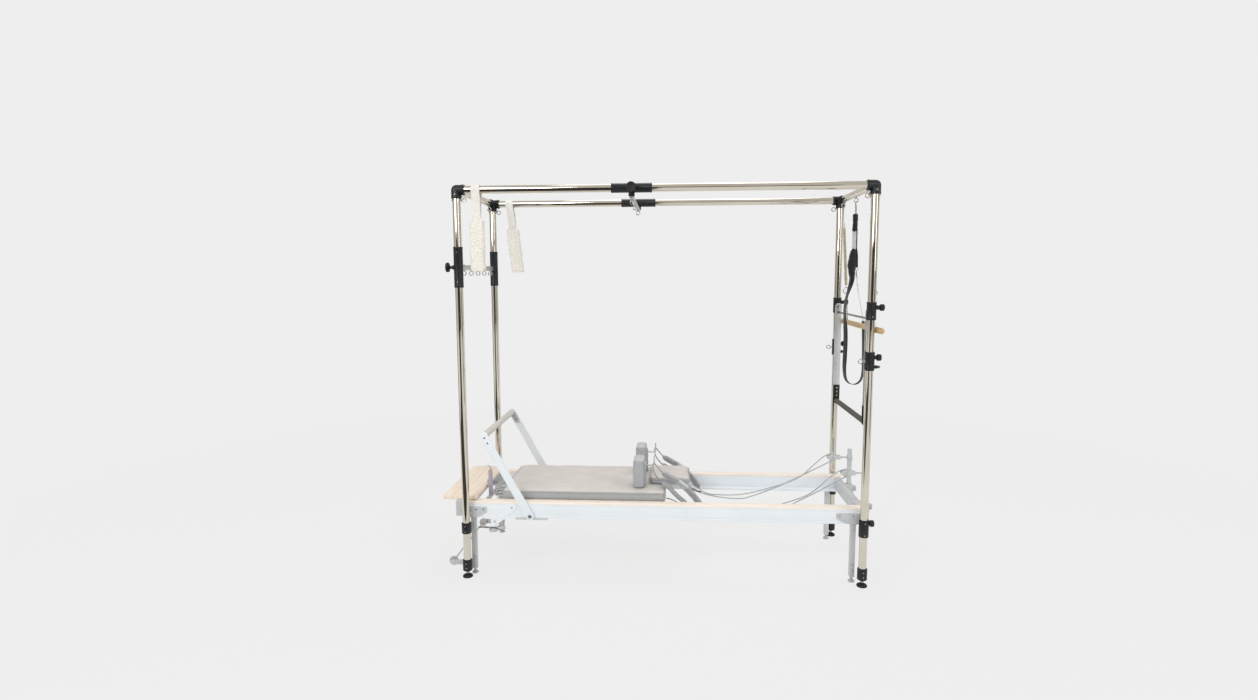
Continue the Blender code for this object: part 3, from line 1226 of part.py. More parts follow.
def roll_down_bar():
    """The wooden bar with a wire link and a ring for each spring."""
    bar = rod((ROLL_BAR_X, ROLL_BAR_Y[0], ROLL_BAR_Z), (ROLL_BAR_X, ROLL_BAR_Y[1], ROLL_BAR_Z),
              ROLL_BAR_R, 16, 0.004)
    links = []
    for side in (-1, 1):
        y = side * ROLL_SPRING_Y
        foot_point = Vector((ROLL_BAR_X, y, ROLL_BAR_Z + ROLL_BAR_R - 0.004))
        top = leaned((HALF_X, y, ROLL_SPRING_Z[0] - 0.010 - 2 * ROLL_SPRING_WIRE))
        way = (top - foot_point).normalized()
        middle = (top - foot_point).length - 0.0215
        links.append(rod(foot_point, foot_point + way * (middle - 0.017), 0.0035, 8))
        links.append(ring(foot_point + way * middle, Y_AXIS, 0.018, 0.0028, 12))
    return fused(bar, *links)


def strap_band_path():
    """The safety strap's loop, round the cross rod and the roll-down bar: each stop is
    its distance out from the posts' plane and its drop below the rail."""
    stops = [(-0.011, 0.506), (-0.019, 0.570), (-0.025, 0.670), (-0.027, 0.781), (-0.032, 0.893),
             (-0.038, 1.005), (-0.030, 1.075), (-0.007, 1.101), (0.020, 1.106), (0.050, 1.096),
             (0.068, 1.065), (0.073, 1.000), (0.073, 0.900), (0.073, 0.800), (0.071, 0.730),
             (0.058, 0.670), (0.037, 0.600), (0.015, 0.535), (0.003, 0.510)]
    return [(HALF_X + out, RAIL_Z - drop) for out, drop in stops]


def safety_strap():
    """The strap from its carabiner down: sleeve, pale webbing, sling and the loop."""
    x = HALF_X - 0.002
    low = RAIL_Z - CARABINER_DROP - SLEEVE_LENGTH + 0.010
    sleeve = block((x - 0.015, -0.020, low), (x + 0.015, 0.020, low + SLEEVE_LENGTH), 0.008, 2)
    pale = block((x - 0.006, -0.017, low - PALE_LENGTH), (x + 0.010, 0.017, low + 0.0035), 0.003)
    rows, sling = [], bmesh.new()
    for k in range(7):
        share = k / 6
        swell = 0.012 + 0.017 * math.sin(math.pi * share) ** 0.8
        z = low - PALE_LENGTH - SLING_LENGTH + 0.005 + SLING_LENGTH * share
        centre = x - 0.005 + 0.006 * share
        rows.append([sling.verts.new((centre + swell * math.cos(2 * math.pi * j / 12),
                                      0.022 * math.sin(2 * math.pi * j / 12), z))
                     for j in range(12)])
    for lower, upper in zip(rows, rows[1:]):
        for j in range(12):
            m = (j + 1) % 12
            sling.faces.new((lower[j], lower[m], upper[m], upper[j]))
    sling.faces.new(list(reversed(rows[0])))
    sling.faces.new(rows[-1])
    bmesh.ops.recalc_face_normals(sling, faces=sling.faces)
    band = swept_loop([(u, 0.0, v) for u, v in reversed(strap_band_path())], STRAP_WIDTH,
                      STRAP_THICK, Y_AXIS)
    return fused(sling, sleeve, pale, band, carabiner(), *strap_buckles())


def least_gap(points, wire, skip):
    """The least clear distance between turns of a wire, point to segment."""
    least = 1.0
    for k, point in enumerate(points):
        for m in range(k + skip, len(points) - 1):
            a, b = points[m], points[m + 1]
            span = b - a
            t = max(0.0, min(1.0, (point - a).dot(span) / span.length_squared))
            least = min(least, (point - a - span * t).length)
    return least - 2 * wire


def levelling_foot():
    """The rear right levelling foot: a round pad on a threaded stud in the socket."""
    profile = [(0, SOCKET_Z[0] + 0.018), (STUD_R, SOCKET_Z[0] + 0.018), (STUD_R, PAD_H + 0.010),
               (0.012, PAD_H + 0.006), (PAD_R - 0.004, PAD_H), (PAD_R, PAD_H - 0.004),
               (PAD_R, 0.002), (PAD_R - 0.002, 0), (0, 0)]
    return turned(profile, (HALF_X, HALF_Y, 0), Z_AXIS)


def build_frame():
    """The fixed frame that stands on the floor, and its four levelling feet."""
    pad = levelling_foot()
    for end, place in ((-1, "left"), (1, "right")):
        rear = post(end)
        rear_pad = mirror_x(pad) if end < 0 else copy_of(pad)
        node(f"front_{place}_post", mirror_y(rear), "chrome")
        node(f"rear_{place}_post", rear, "chrome")
        node(f"front_{place}_foot", mirror_y(rear_pad), "cast_black", (end * HALF_X, -HALF_Y, 0))
        node(f"rear_{place}_foot", rear_pad, "cast_black", (end * HALF_X, HALF_Y, 0))
    rear_rail, right_rail = top_rail(), end_rail()
    node("front_top_rail", mirror_y(rear_rail), "chrome")
    node("rear_top_rail", rear_rail, "chrome")
    node("left_end_rail", mirror_x(right_rail), "chrome")
    node("right_end_rail", right_rail, "chrome")
    knob_x = HALF_X + SLEEVE_R + SEAT_GAP
    knob_z = RIGHT_JOINER_Z[1] - 0.020
    for y, side in ((-HALF_Y, "front"), (HALF_Y, "rear")):
        node(f"{side}_joiner_knob", fluted_knob((knob_x, y, knob_z), X_AXIS), "moulded_black",
             (knob_x, y, knob_z))


def build_sliders():
    """The two sliders on the frame and their clamp knobs."""
    left = joint("left_slider_axis", (-HALF_X, 0, LEFT_SLIDER_Z))
    node("left_slider", left_slider(), "cast_black", parent=left)
    point = (-HALF_X - SLEEVE_R - 0.008 - SEAT_GAP, -HALF_Y, LEFT_SLIDER_Z)
    node("left_slider_knob", disc_knob(point, -X_AXIS), "moulded_black", point, left)
    canopy = joint("canopy_slider_axis", (CANOPY_X, 0, RAIL_Z))
    node("canopy_slider", canopy_slider(), "cast_black", parent=canopy)
    point = (CANOPY_X, -HALF_Y - SLEEVE_R - 0.008 - SEAT_GAP, RAIL_Z)
    node("canopy_knob", disc_knob(point, -Y_AXIS), "moulded_black", point, canopy)


def build_push_bar():
    """The push-through bar, its carriers, and the spring collars below them."""
    carriers = joint("push_carrier_axis", (HALF_X, 0, PUSH_PIVOT_Z))
    swing = joint("push_bar_axis", (HALF_X, 0, PUSH_PIVOT_Z), carriers)
    arms, foam = push_bar()
    node("push_bar_arms", arms, "aluminium", parent=swing)
    node("push_bar_foam", foam, "foam", parent=swing)
    push_x = HALF_X + 0.038 + SEAT_GAP
    collar_x = HALF_X + SLEEVE_R + 0.006 + SEAT_GAP
    rear_pieces = push_carrier(), collar(), collar_pin()
    for y, side in ((-HALF_Y, "front"), (HALF_Y, "rear")):
        carrier, body, pin = [copy_of(piece) if y > 0 else mirror_y(piece)
                              for piece in rear_pieces]
        node(f"{side}_push_carrier", carrier, "cast_black", parent=carriers)
        node(f"{side}_push_knob", fluted_knob((push_x, y, PUSH_KNOB_Z), X_AXIS), "moulded_black",
             (push_x, y, PUSH_KNOB_Z), carriers)
        slide = joint(f"{side}_collar_axis", (HALF_X, y, COLLAR_EYE_Z))
        node(f"{side}_collar", body, "cast_black", parent=slide)
        node(f"{side}_collar_knob", fluted_knob((collar_x, y, COLLAR_KNOB_Z), X_AXIS),
             "moulded_black", (collar_x, y, COLLAR_KNOB_Z), slide)
        node(f"{side}_collar_pin", pin, "steel", parent=slide)


def build_hangings():
    """The fleece loops, the roll-down bar on its springs, and the safety strap."""
    for x, side, lean, name in ((FRONT_LOOP_X, -1, 0.0, "front"),
                                (REAR_LOOP_X, 1, REAR_LOOP_LEAN, "rear")):
        axis = joint(f"{name}_fleece_axis", (x, side * HALF_Y, RAIL_Z))
        node(f"{name}_fleece_loop", fleece_loop(x, side, lean), "fleece", parent=axis)
    hooks = joint("roll_bar_axis", (HALF_X, 0, roll_hook_z()))
    for side, name in ((-1, "front"), (1, "rear")):
        points = roll_spring_points(side)
        curve_tube(f"{name}_roll_spring", points, ROLL_SPRING_WIRE, "steel", 1, hooks)
    gap = 1000 * least_gap(points, ROLL_SPRING_WIRE, 6)
    print("least gap in a roll-down spring:", round(gap, 2), "mm")
    node("roll_down_bar", roll_down_bar(), "wood", parent=hooks)
    strap = joint("safety_strap_axis", (HALF_X, 0, roll_hook_z()))
    node("safety_strap", safety_strap(), "webbing", parent=strap)


def build_bed():
    """The reformer bed's fixed parts, its footbar, wheels, pulleys and ropes."""
    rail = bed_rail()
    node("bed_rail_front", mirror_y(rail), "bed_white")
    node("bed_rail_rear", rail, "bed_white")
    node("foot_beam", foot_beam(), "bed_grey")
    node("head_beam", head_beam(), "bed_grey")
    node("standing_platform", block((PLATFORM_X[0], -PLATFORM_HALF_Y, PLATFORM_Z[0]),
                                    (PLATFORM_X[1], PLATFORM_HALF_Y, PLATFORM_Z[1]), 0.004, 2),
         "bed_wood")
    node("spring_bar", spring_bar(), "bed_metal")
    place = (TRANSPORT_WHEEL_X, 0, TRANSPORT_WHEEL_Z)
    node("transport_wheels", wheel_set(TRANSPORT_WHEEL_X, TRANSPORT_WHEEL_Z, LEG_Y - 0.005,
                                       TRANSPORT_WHEEL_R, 0.016), "bed_grey", place)
    node("footbar_lever", footbar_lever(), "bed_metal", (*LEVER_BOLT, 0.2845))
    pivot = joint("footbar_axis", (FOOTBAR_PIVOT[0], 0, FOOTBAR_PIVOT[1]))
    arms, grip = footbar()
    node("footbar_arms", arms, "bed_white", parent=pivot)
    node("footbar_grip", grip, "foam", parent=pivot)
    for side, name in ((-1, "front"), (1, "rear")):
        centre = (PULLEY_X, side * RISER_Y, PULLEY_Z)
        node(f"{name}_pulley", pulley(centre), "bed_grey", centre)
        curve_tube(f"{name}_rope", rope_points(side), ROPE_R, "bed_rope", 2)


def centre_model():
    """Move everything so that the whole object's box stands centred on the origin."""
    bpy.context.view_layer.update()
    corners = [thing.matrix_world @ Vector(corner) for thing in bpy.data.objects
               if thing.type != "EMPTY" for corner in thing.bound_box]
    for axis in (0, 1):
        places = [corner[axis] for corner in corners]
        middle = (min(places) + max(places)) / 2
        print("moved along", "xy"[axis], "by", round(-1000 * middle, 3), "mm")
        for thing in bpy.data.objects:
            if not thing.parent:
                thing.location[axis] -= middle


def main():
    """Build every sub-part."""
    clear_scene()
    build_frame()
    build_sliders()
    build_push_bar()
    build_hangings()
    build_bed()
    build_carriage()
    centre_model()


main()
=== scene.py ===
"""Trapeze table round a reformer bed: the finished pieces over the packed frame.

Places are given from the floor point midway between the four posts, in metres, with +X
toward the push-through bar and -Y to the front, and are moved to the frame as a mesh is made.
"""
import json
import math

import bpy
import numpy as np
from bpy.props import FloatProperty, FloatVectorProperty, IntProperty, PointerProperty
from mathutils import Matrix, Vector


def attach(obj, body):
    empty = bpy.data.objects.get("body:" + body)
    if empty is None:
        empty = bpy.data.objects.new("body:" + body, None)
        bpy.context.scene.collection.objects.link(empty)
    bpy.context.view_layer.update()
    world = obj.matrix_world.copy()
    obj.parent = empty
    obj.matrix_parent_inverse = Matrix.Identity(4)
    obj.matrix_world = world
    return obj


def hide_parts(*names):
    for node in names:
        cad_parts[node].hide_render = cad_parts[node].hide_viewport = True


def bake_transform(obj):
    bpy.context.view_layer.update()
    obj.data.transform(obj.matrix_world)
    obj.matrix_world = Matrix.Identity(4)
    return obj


bl_info = {"name": "Trapeze table pieces", "version": (1, 0, 0), "blender": (4, 5, 0),
    "location": "3D View > Sidebar > Trapeze",
    "description": "Builds the finished pieces of a trapeze table over its packed frame",
    "category": "Add Mesh"}

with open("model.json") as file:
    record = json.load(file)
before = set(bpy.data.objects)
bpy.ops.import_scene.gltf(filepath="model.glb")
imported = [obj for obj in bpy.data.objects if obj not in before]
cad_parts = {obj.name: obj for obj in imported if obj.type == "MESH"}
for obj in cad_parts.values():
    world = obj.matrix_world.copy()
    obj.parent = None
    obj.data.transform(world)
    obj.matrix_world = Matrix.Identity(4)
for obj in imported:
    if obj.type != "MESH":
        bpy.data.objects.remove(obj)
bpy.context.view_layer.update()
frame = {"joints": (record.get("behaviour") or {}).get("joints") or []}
JOINTS = {joint["name"]: joint for joint in frame["joints"]}
FEET = np.array([j["pos_m"] for name, j in JOINTS.items() if name.endswith("_foot_turn")])
ORIGIN = FEET.mean(axis=0) * (1, 1, 0)              # the point midway between the posts

# Frame, as the solids have it
HX, HY, RAIL_Z = 1.105, 0.37, 2.17
TUBE_R, SLEEVE_R, CAST_R = 0.021, 0.025, 0.0265
EYE_R, EYE_WIRE = 0.0115, 0.0028
POST_EYE_Z = 2.117
RAIL_EYES = (-0.287, 0.0, 0.287)
HOOK_Z = JOINTS["roll_bar_swing"]["pos_m"][2]
LEFT_Z, CANOPY_X = 1.757, -0.16
PIVOT_Z, FOAM_Z, ROD_Z, PUSH_KNOB_Z = 1.51, 0.912, 1.475, 1.537
ARM_Y, ARM_HALF = 0.331, 0.02                      # outer face and half width of its arms
BRACKET_Y, BRACKET_TOP = 0.3252, 1.012
COLLAR_EYE_Z, COLLAR_KNOB_Z, COLLAR_PIN_Z = 1.25, 1.272, 1.221
DOWEL_X, DOWEL_Z, DOWEL_R = 1.15, 1.415, 0.016

# Reformer bed
RAIL_Y, RAIL_W, RAIL_LOW, RAIL_TOP = 0.335, 0.062, 0.34, 0.43
RAIL_ENDS = (-1.13, 1.14)
LEG_XS, LEG_Y = (-1.078, 1.062), 0.312
CARRIAGE = (-0.926, 0.022)
WHEELS = ((-0.77, "foot"), (-0.048, "head"))
CARRIAGE_Y, BOARD_LOW, BOARD_TOP = 0.268, 0.405, 0.425
WHEEL_Z, WHEEL_R = 0.3743, 0.022
PIVOT, GRIP = (-0.745, 0.352), (-1.0, 0.815)
RISER_X, RISER_Y = 1.16, 0.17
PULLEY = (1.055, 0.582)
SPRING_BAR_X, SPRING_Z, BEAM_HALF = -1.038, 0.386, 0.2726
PLATFORM_X, HANDLE_Y = -1.16, -0.086
SIDES = ((-1, "front"), (1, "rear"))
TWIST = -0.55                                       # turn of the strap's tapes, in radians
GRIP_TOP, SLING_TOP, SLING_LOW = 2.056, 1.858, 1.664
X, Y, Z = np.eye(3)


# ---- shapes

class Shape:
    """Points with quads and triangles, each with its UV in metres along the surface."""

    def __init__(self, points, quads, tris, quad_uv, tri_uv):
        self.points, self.quads, self.tris = points, quads, tris
        self.quad_uv, self.tri_uv = quad_uv, tri_uv

    def moved(self, matrix=None, offset=(0, 0, 0)):
        """The same shape turned by a 3 x 3 matrix, then moved; a mirror keeps faces outward."""
        matrix = np.eye(3) if matrix is None else np.array(matrix, float)
        points = self.points @ matrix.T + np.array(offset, float)
        if np.linalg.det(matrix) < 0:
            return Shape(points, self.quads[:, ::-1], self.tris[:, ::-1], self.quad_uv[:, ::-1],
                self.tri_uv[:, ::-1])
        return Shape(points, self.quads, self.tris, self.quad_uv, self.tri_uv)

    def sided(self, x=1, y=1):
        """The same shape at the other end (x = -1) or on the other side (y = -1)."""
        return self.moved(np.diag((x, y, 1)))

    def shaped(self, change):
        """The same shape with its points passed through a function of their array."""
        return Shape(change(self.points.copy()), self.quads, self.tris, self.quad_uv, self.tri_uv)


def join(*shapes):
    """Several shapes as one."""
    counts = np.cumsum([0] + [len(s.points) for s in shapes])
    faces = [[getattr(s, kind) + c for s, c in zip(shapes, counts)] for kind in ("quads", "tris")]
    every = [[getattr(s, kind) for s in shapes] for kind in ("points", "quad_uv", "tri_uv")]
    return Shape(*map(np.concatenate, (every[0], *faces, *every[1:])))


def loft(rows, ring=False, caps=True, poles=None):
    """A surface over a grid of points, rows[i, j]: i runs along the shape and j round it.

    The last column joins the first. ring joins the last row to the first, and caps close
    both end rows with a fan to a pole, which is the row's middle where none is given. U is
    the mean length round the rows and V along them, so a pattern there has its real size.
    """
    rows = np.asarray(rows, float)
    m, n = rows.shape[:2]
    points = rows.reshape(-1, 3)
    i, j = (a.ravel() for a in np.meshgrid(np.arange(m if ring else m - 1), np.arange(n),
        indexing="ij"))
    i2, j2 = (i + 1) % m, (j + 1) % n
    quads = np.stack((i * n + j, i * n + j2, i2 * n + j2, i2 * n + j), axis=1)
    round_step = np.linalg.norm(np.roll(rows, -1, axis=1) - rows, axis=2).mean(axis=0)
    along_step = np.linalg.norm(np.roll(rows, -1, axis=0) - rows, axis=2).mean(axis=1)
    u = np.concatenate(([0], np.cumsum(round_step)))
    v = np.concatenate(([0], np.cumsum(along_step)))
    quad_uv = np.stack([columns(u[j + a], v[i + b]) for a, b in ((0, 0), (1, 0), (1, 1), (0, 1))],
        axis=1)
    tris, tri_uv = np.zeros((0, 3), int), np.zeros((0, 3, 2))
    if caps and not ring:
        base, k = len(points), np.arange(n)
        k2 = (k + 1) % n
        ends = (rows[0].mean(axis=0), rows[-1].mean(axis=0)) if poles is None else poles
        points = np.concatenate((points, np.array(ends, float)))
        tris = np.concatenate((columns(base, k2, k), columns(base + 1, (m - 1) * n + k,
            (m - 1) * n + k2)))
        corner = points[tris]
        tri_uv = corner[..., :2] + (0.3, 0.7) * corner[..., 2:]
    return Shape(points, quads, tris, quad_uv, tri_uv)


def floats(*places):
    """Places as arrays of numbers."""
    return [np.array(place, float) for place in places]


def columns(*parts):
    """Numbers and arrays side by side, as the coordinates of a line of points."""
    return np.stack(np.broadcast_arrays(*parts), axis=-1)


def round_angles(count):
    """Angles that lie evenly round a whole turn, in radians."""
    return np.linspace(0, 2 * math.pi, count, endpoint=False)


def arc(radius, first, last, count, closed=False):
    """Evenly spaced points of a round arc about the origin, with its angles in radians."""
    angle = np.linspace(first, last, count, endpoint=not closed)
    return radius * columns(np.cos(angle), np.sin(angle))


def basis(axis):
    """Two unit vectors square to an axis, the second as near upright as it can be, and the
    axis: together they are right-handed."""
    axis = np.array(axis, float) / np.linalg.norm(axis)
    first = np.cross(X if abs(axis[2]) > 0.99 else Z, axis)
    first /= np.linalg.norm(first)
    return first, np.cross(axis, first), axis


def filleted(corners, radius, steps=4, closed=False):
    """A line of 2-D corners, each rounded by the quadratic curve (1-t)^2 a + 2t(1-t) c + t^2 b
    between the points that lie a radius before and after it."""
    corners = np.array(corners, float)
    radii = np.broadcast_to(np.array(radius, float), (len(corners),))
    before, after = np.roll(corners, 1, axis=0) - corners, np.roll(corners, -1, axis=0) - corners
    lengths = np.linalg.norm(before, axis=1), np.linalg.norm(after, axis=1)
    reach = np.minimum(radii, 0.45 * np.minimum(*lengths))[:, None]
    start = corners + before / lengths[0][:, None] * reach
    end = corners + after / lengths[1][:, None] * reach
    t = np.linspace(0, 1, steps + 1)[None, :, None]
    middle = corners[:, None]
    curve = (1 - t) ** 2 * start[:, None] + 2 * t * (1 - t) * middle + t * t * end[:, None]
    if closed:
        return curve.reshape(-1, 2)
    return np.concatenate((corners[:1], curve[1:-1].reshape(-1, 2), corners[-1:]))


def lathe(profile, origin=(0, 0, 0), axis=(0, 0, 1), sides=40, lip=0.0, steps=3):
    """A profile of (radius, height) points turned about an axis: each point's ring is
    (r cos a, r sin a, h). A profile that starts and ends on the axis is closed by poles
    there, and any other is joined into a ring. lip rounds the profile's corners."""
    profile = np.array(profile, float)
    solid = profile[0, 0] < 1e-6
    line = filleted(profile, lip, steps, closed=not solid) if lip else profile
    first, second, axis = basis(axis)
    origin = np.array(origin, float)
    poles = None
    if solid:
        poles = origin + line[0, 1] * axis, origin + line[-1, 1] * axis
        line = line[1:-1]
    angle = round_angles(sides)
    across = np.cos(angle)[:, None] * first + np.sin(angle)[:, None] * second
    rows = origin + line[:, 1, None, None] * axis + line[:, 0, None, None] * across
    return loft(rows, ring=not solid, poles=poles)


def drum(point, axis, radius, low, high, sides=32, lip=0.001, steps=2):
    """A solid round boss or disc that reaches from low to high along an axis."""
    return lathe([(0, low), (radius, low), (radius, high), (0, high)], point, axis, sides, lip,
        steps)


def rod(start, end, radius, lip=0.0008, sides=32):
    """A round bar between two points with softened ends."""
    start, end = floats(start, end)
    return drum(start, end - start, radius, 0, np.linalg.norm(end - start), sides, lip, 3)


def pipe(start, end, outer, inner, lip=0.001, sides=48):
    """A tube between two points with softened mouths."""
    start, end = floats(start, end)
    length = np.linalg.norm(end - start)
    return lathe([(inner, 0), (outer, 0), (outer, length), (inner, length)], start, end - start,
        sides, min(lip, 0.4 * (outer - inner)))


def carried(outline, path, up, ring=False, turn=None, scale=None):
    """An outline of (u, v) points carried along a path: each row is the path's point plus u
    across and v above, where across is square to the path and to up. turn and scale vary
    the outline along the path."""
    path, outline = np.asarray(path, float), np.asarray(outline, float)
    if ring:
        tangent = np.roll(path, -1, axis=0) - np.roll(path, 1, axis=0)
    else:
        tangent = np.gradient(path, axis=0)
    tangent /= np.linalg.norm(tangent, axis=1)[:, None]
    across = np.cross(np.broadcast_to(np.array(up, float), path.shape), tangent)
    across /= np.linalg.norm(across, axis=1)[:, None]
    above = np.cross(tangent, across)
    if turn is not None:
        c, s = np.cos(turn)[:, None], np.sin(turn)[:, None]
        across, above = across * c + above * s, above * c - across * s
    size = np.ones((len(path), 1)) if scale is None else np.asarray(scale, float)[:, None]
    u, v = (outline[None, :, k] * size for k in (0, 1))
    rows = path[:, None] + u[..., None] * across[:, None] + v[..., None] * above[:, None]
    return loft(rows, ring=ring)


def circle(radius, sides=10):
    """A round outline."""
    return arc(radius, 0, 2 * math.pi, sides, closed=True)


def rounded_rect(width, height, radius, steps=3):
    """A rectangle outline about the origin with round corners."""
    w, h = width / 2, height / 2
    return filleted([(w, -h), (w, h), (-w, h), (-w, -h)], radius, steps, closed=True)


def stadium(start, end, radius, steps=9):
    """A bar outline with round ends, between two 2-D points."""
    start, end = floats(start, end)
    way, half = math.atan2(*(end - start)[::-1]), math.pi / 2
    return np.concatenate((start + arc(radius, way + half, way + 3 * half, steps),
        end + arc(radius, way - half, way + half, steps)))


def plate(outline, thick, origin=(0, 0, 0), across=X, up=Z, lip=0.0008, steps=3):
    """An outline in the plane of across and up, grown along their normal by thick. Its end
    rows step in by lip (1 - sin a) and along by lip (1 - cos a), which rounds its edges."""
    outline = np.asarray(outline, float)
    edge = np.roll(outline, -1, axis=0)
    area = np.sum(outline[:, 0] * edge[:, 1] - edge[:, 0] * outline[:, 1])
    if (area < 0) != (thick < 0):
        outline = outline[::-1]
    edge = np.roll(outline, -1, axis=0) - np.roll(outline, 1, axis=0)
    normal = columns(edge[:, 1], -edge[:, 0]) * math.copysign(1, thick)
    normal /= np.linalg.norm(normal, axis=1)[:, None] + 1e-12
    lip = min(lip, 0.45 * abs(thick))
    a = np.linspace(0, math.pi / 2, steps + 1)
    inset = np.concatenate((lip * (1 - np.sin(a)), lip * (1 - np.sin(a[::-1]))))
    rise = np.concatenate((lip * (1 - np.cos(a)), abs(thick) - lip * (1 - np.cos(a[::-1]))))
    flat = outline[None] - inset[:, None, None] * normal[None]
    across, up = floats(across, up)
    out = np.cross(across, up) * math.copysign(1, thick)
    rows = (np.array(origin, float) + flat[..., 0, None] * across + flat[..., 1, None] * up
        + rise[:, None, None] * out)
    return loft(rows)


def box(low, high, lip=0.002, corner=None):
    """A box between two corners with every edge round."""
    low, high = floats(low, high)
    size, middle = high - low, (low + high) / 2
    outline = rounded_rect(size[0], size[1], lip if corner is None else corner)
    return plate(outline, size[2], (middle[0], middle[1], low[2]), X, Y, lip)


def hex_head(point, axis, width=0.011, tall=0.005):
    """A hexagon nut or bolt head that stands on a face."""
    first, second, axis = basis(axis)
    corners = circle(width / math.sqrt(3), 6)
    return plate(filleted(corners, width * 0.06, 1, closed=True), tall, point, first, second,
        0.0008, 2)


def screw(point, axis, radius=0.0045, tall=0.0026):
    """A round screw head with a socket in it."""
    return lathe([(0, -0.001), (radius, -0.001), (radius, 0.0003), (radius * 0.86, tall * 0.75),
        (radius * 0.55, tall), (radius * 0.45, tall), (radius * 0.42, tall * 0.3),
        (0, tall * 0.3)], point, axis, 18)


def torus(centre, axis, radius, wire, around=36, sides=10):
    """A ring of round wire: (R + r cos b) out and r sin b along the axis."""
    first, second, axis = basis(axis)
    a = round_angles(around)[:, None, None]
    b = round_angles(sides)[None, :, None]
    out = np.cos(a) * first + np.sin(a) * second
    rows = np.array(centre, float) + (radius + wire * np.cos(b)) * out + wire * np.sin(b) * axis
    return loft(rows, ring=True)


def evenly(line, count, closed=False):
    """Points spaced evenly along a line; the end of a closed one isn't doubled."""
    length = np.concatenate(([0], np.cumsum(np.linalg.norm(np.diff(line, axis=0), axis=1))))
    goal = np.linspace(0, length[-1], count, endpoint=not closed)
    return columns(*[np.interp(goal, length, part) for part in line.T])


def smooth_path(stops, count, closed=False):
    """Evenly spaced points on a Catmull-Rom curve through the stops: between two stops it
    is the cubic whose end slopes are half the span of the stops on either side."""
    stops = np.asarray(stops, float)
    if closed:
        stops = np.concatenate((stops[-1:], stops, stops[:2]))
    else:
        stops = np.concatenate((2 * stops[:1] - stops[1:2], stops, 2 * stops[-1:] - stops[-2:-1]))
    t = np.linspace(0, 1, 40, endpoint=False)[None, :, None]
    p0, p1, p2, p3 = (stops[k:len(stops) - 3 + k, None] for k in range(4))
    dense = 0.5 * (2 * p1 + (p2 - p0) * t + (2 * p0 - 5 * p1 + 4 * p2 - p3) * t ** 2
        + (3 * p1 - p0 - 3 * p2 + p3) * t ** 3)
    dense = np.concatenate((dense.reshape(-1, stops.shape[1]), stops[-2][None]))
    return evenly(dense, count, closed)


def waves(points, size, seed, count=9):
    """A smooth uneven field of about -1 to 1: the sum of sine waves of about that size with
    random ways and phases."""
    rng = np.random.default_rng(seed)
    ways = rng.normal(size=(count, 3))
    ways /= np.linalg.norm(ways, axis=1)[:, None] * size * rng.uniform(0.7, 1.5, count)[:, None]
    phase = rng.uniform(0, 2 * math.pi, count)
    return np.sin(points @ (2 * math.pi * ways).T + phase).sum(axis=-1) / math.sqrt(count)


def coil(start, end, radius, wire, pitch, lead=0.0, per_turn=14, sides=6):
    """A wound spring: its wire runs along the helix (R cos a, R sin a, p a / 2 pi), whose
    radius eases in to the axis over each lead."""
    start, end = floats(start, end)
    first, second, axis = basis(end - start)
    length = np.linalg.norm(end - start)
    turns = max(2, round((length - 2 * lead) / pitch))
    a = np.linspace(0, 2 * math.pi * turns, turns * per_turn + 1)[:, None]
    along = lead + (length - 2 * lead) * a / a[-1]
    line = start + along * axis + radius * (np.cos(a) * first + np.sin(a) * second)
    if lead:
        t = np.linspace(0, 1, 8, endpoint=False)[:, None]
        ease = radius * t ** 2
        head = start + t * lead * axis + ease * first
        tail = end - t[::-1] * lead * axis + ease[::-1] * first
        line = np.concatenate((head, line, tail))
    return carried(circle(wire, sides), line, axis)


# ---- finishes

def linear(code, share=1.0):
    """A hex sRGB colour as linear values, c / 12.92 when dark and else
    ((c + 0.055) / 1.055) ^ 2.4, times a share of its light. A code that is no hex names one
    of the scene's colour settings, which are linear as they are."""
    if code[0] == "#":
        values = [int(code[k:k + 2], 16) / 255 for k in (1, 3, 5)]
        values = [v / 12.92 if v <= 0.04045 else ((v + 0.055) / 1.055) ** 2.4 for v in values]
    else:
        values = getattr(bpy.context.scene.trapeze_colours, code)
    return tuple(share * v for v in values) + (1.0,)


def add(tree, kind, links=None, **settings):
    """Add a node; links gives each input a socket or a value."""
    made = tree.nodes.new(kind)
    for key, value in settings.items():
        setattr(made, key, value)
    for key, value in (links or {}).items():
        if isinstance(value, bpy.types.NodeSocket):
            tree.links.new(value, made.inputs[key])
        else:
            made.inputs[key].default_value = value
    return made


def feed(tree, shader, **sockets):
    """Link sockets to the inputs of a shader, whose names have _ for a space here."""
    for key, socket in sockets.items():
        tree.links.new(socket, shader.inputs[key.replace("_", " ")])


def begin(name, roughness, metallic=0.0, ior=1.5, **sockets):
    """A new material: itself, its tree, its shader, and the coordinates of the object."""
    material = bpy.data.materials.new(name)
    material.use_nodes = True
    tree = material.node_tree
    shader = tree.nodes["Principled BSDF"]
    shader.inputs["Roughness"].default_value = roughness
    shader.inputs["Metallic"].default_value = metallic
    if not metallic:
        shader.inputs["IOR"].default_value = ior
    for key, value in sockets.items():
        shader.inputs[key.replace("_", " ")].default_value = value
    return material, tree, shader, add(tree, "ShaderNodeTexCoord")


def speckle(tree, vector, size, detail=3.0, stretch=(1, 1, 1), distortion=0.0):
    """Noise whose blotches are about size metres across, drawn out by stretch."""
    place = add(tree, "ShaderNodeMapping",
        {"Vector": vector, "Scale": tuple(1 / (size * s) for s in stretch)})
    return add(tree, "ShaderNodeTexNoise", {"Vector": place.outputs[0], "Scale": 1.0,
        "Detail": detail, "Distortion": distortion}).outputs[0]


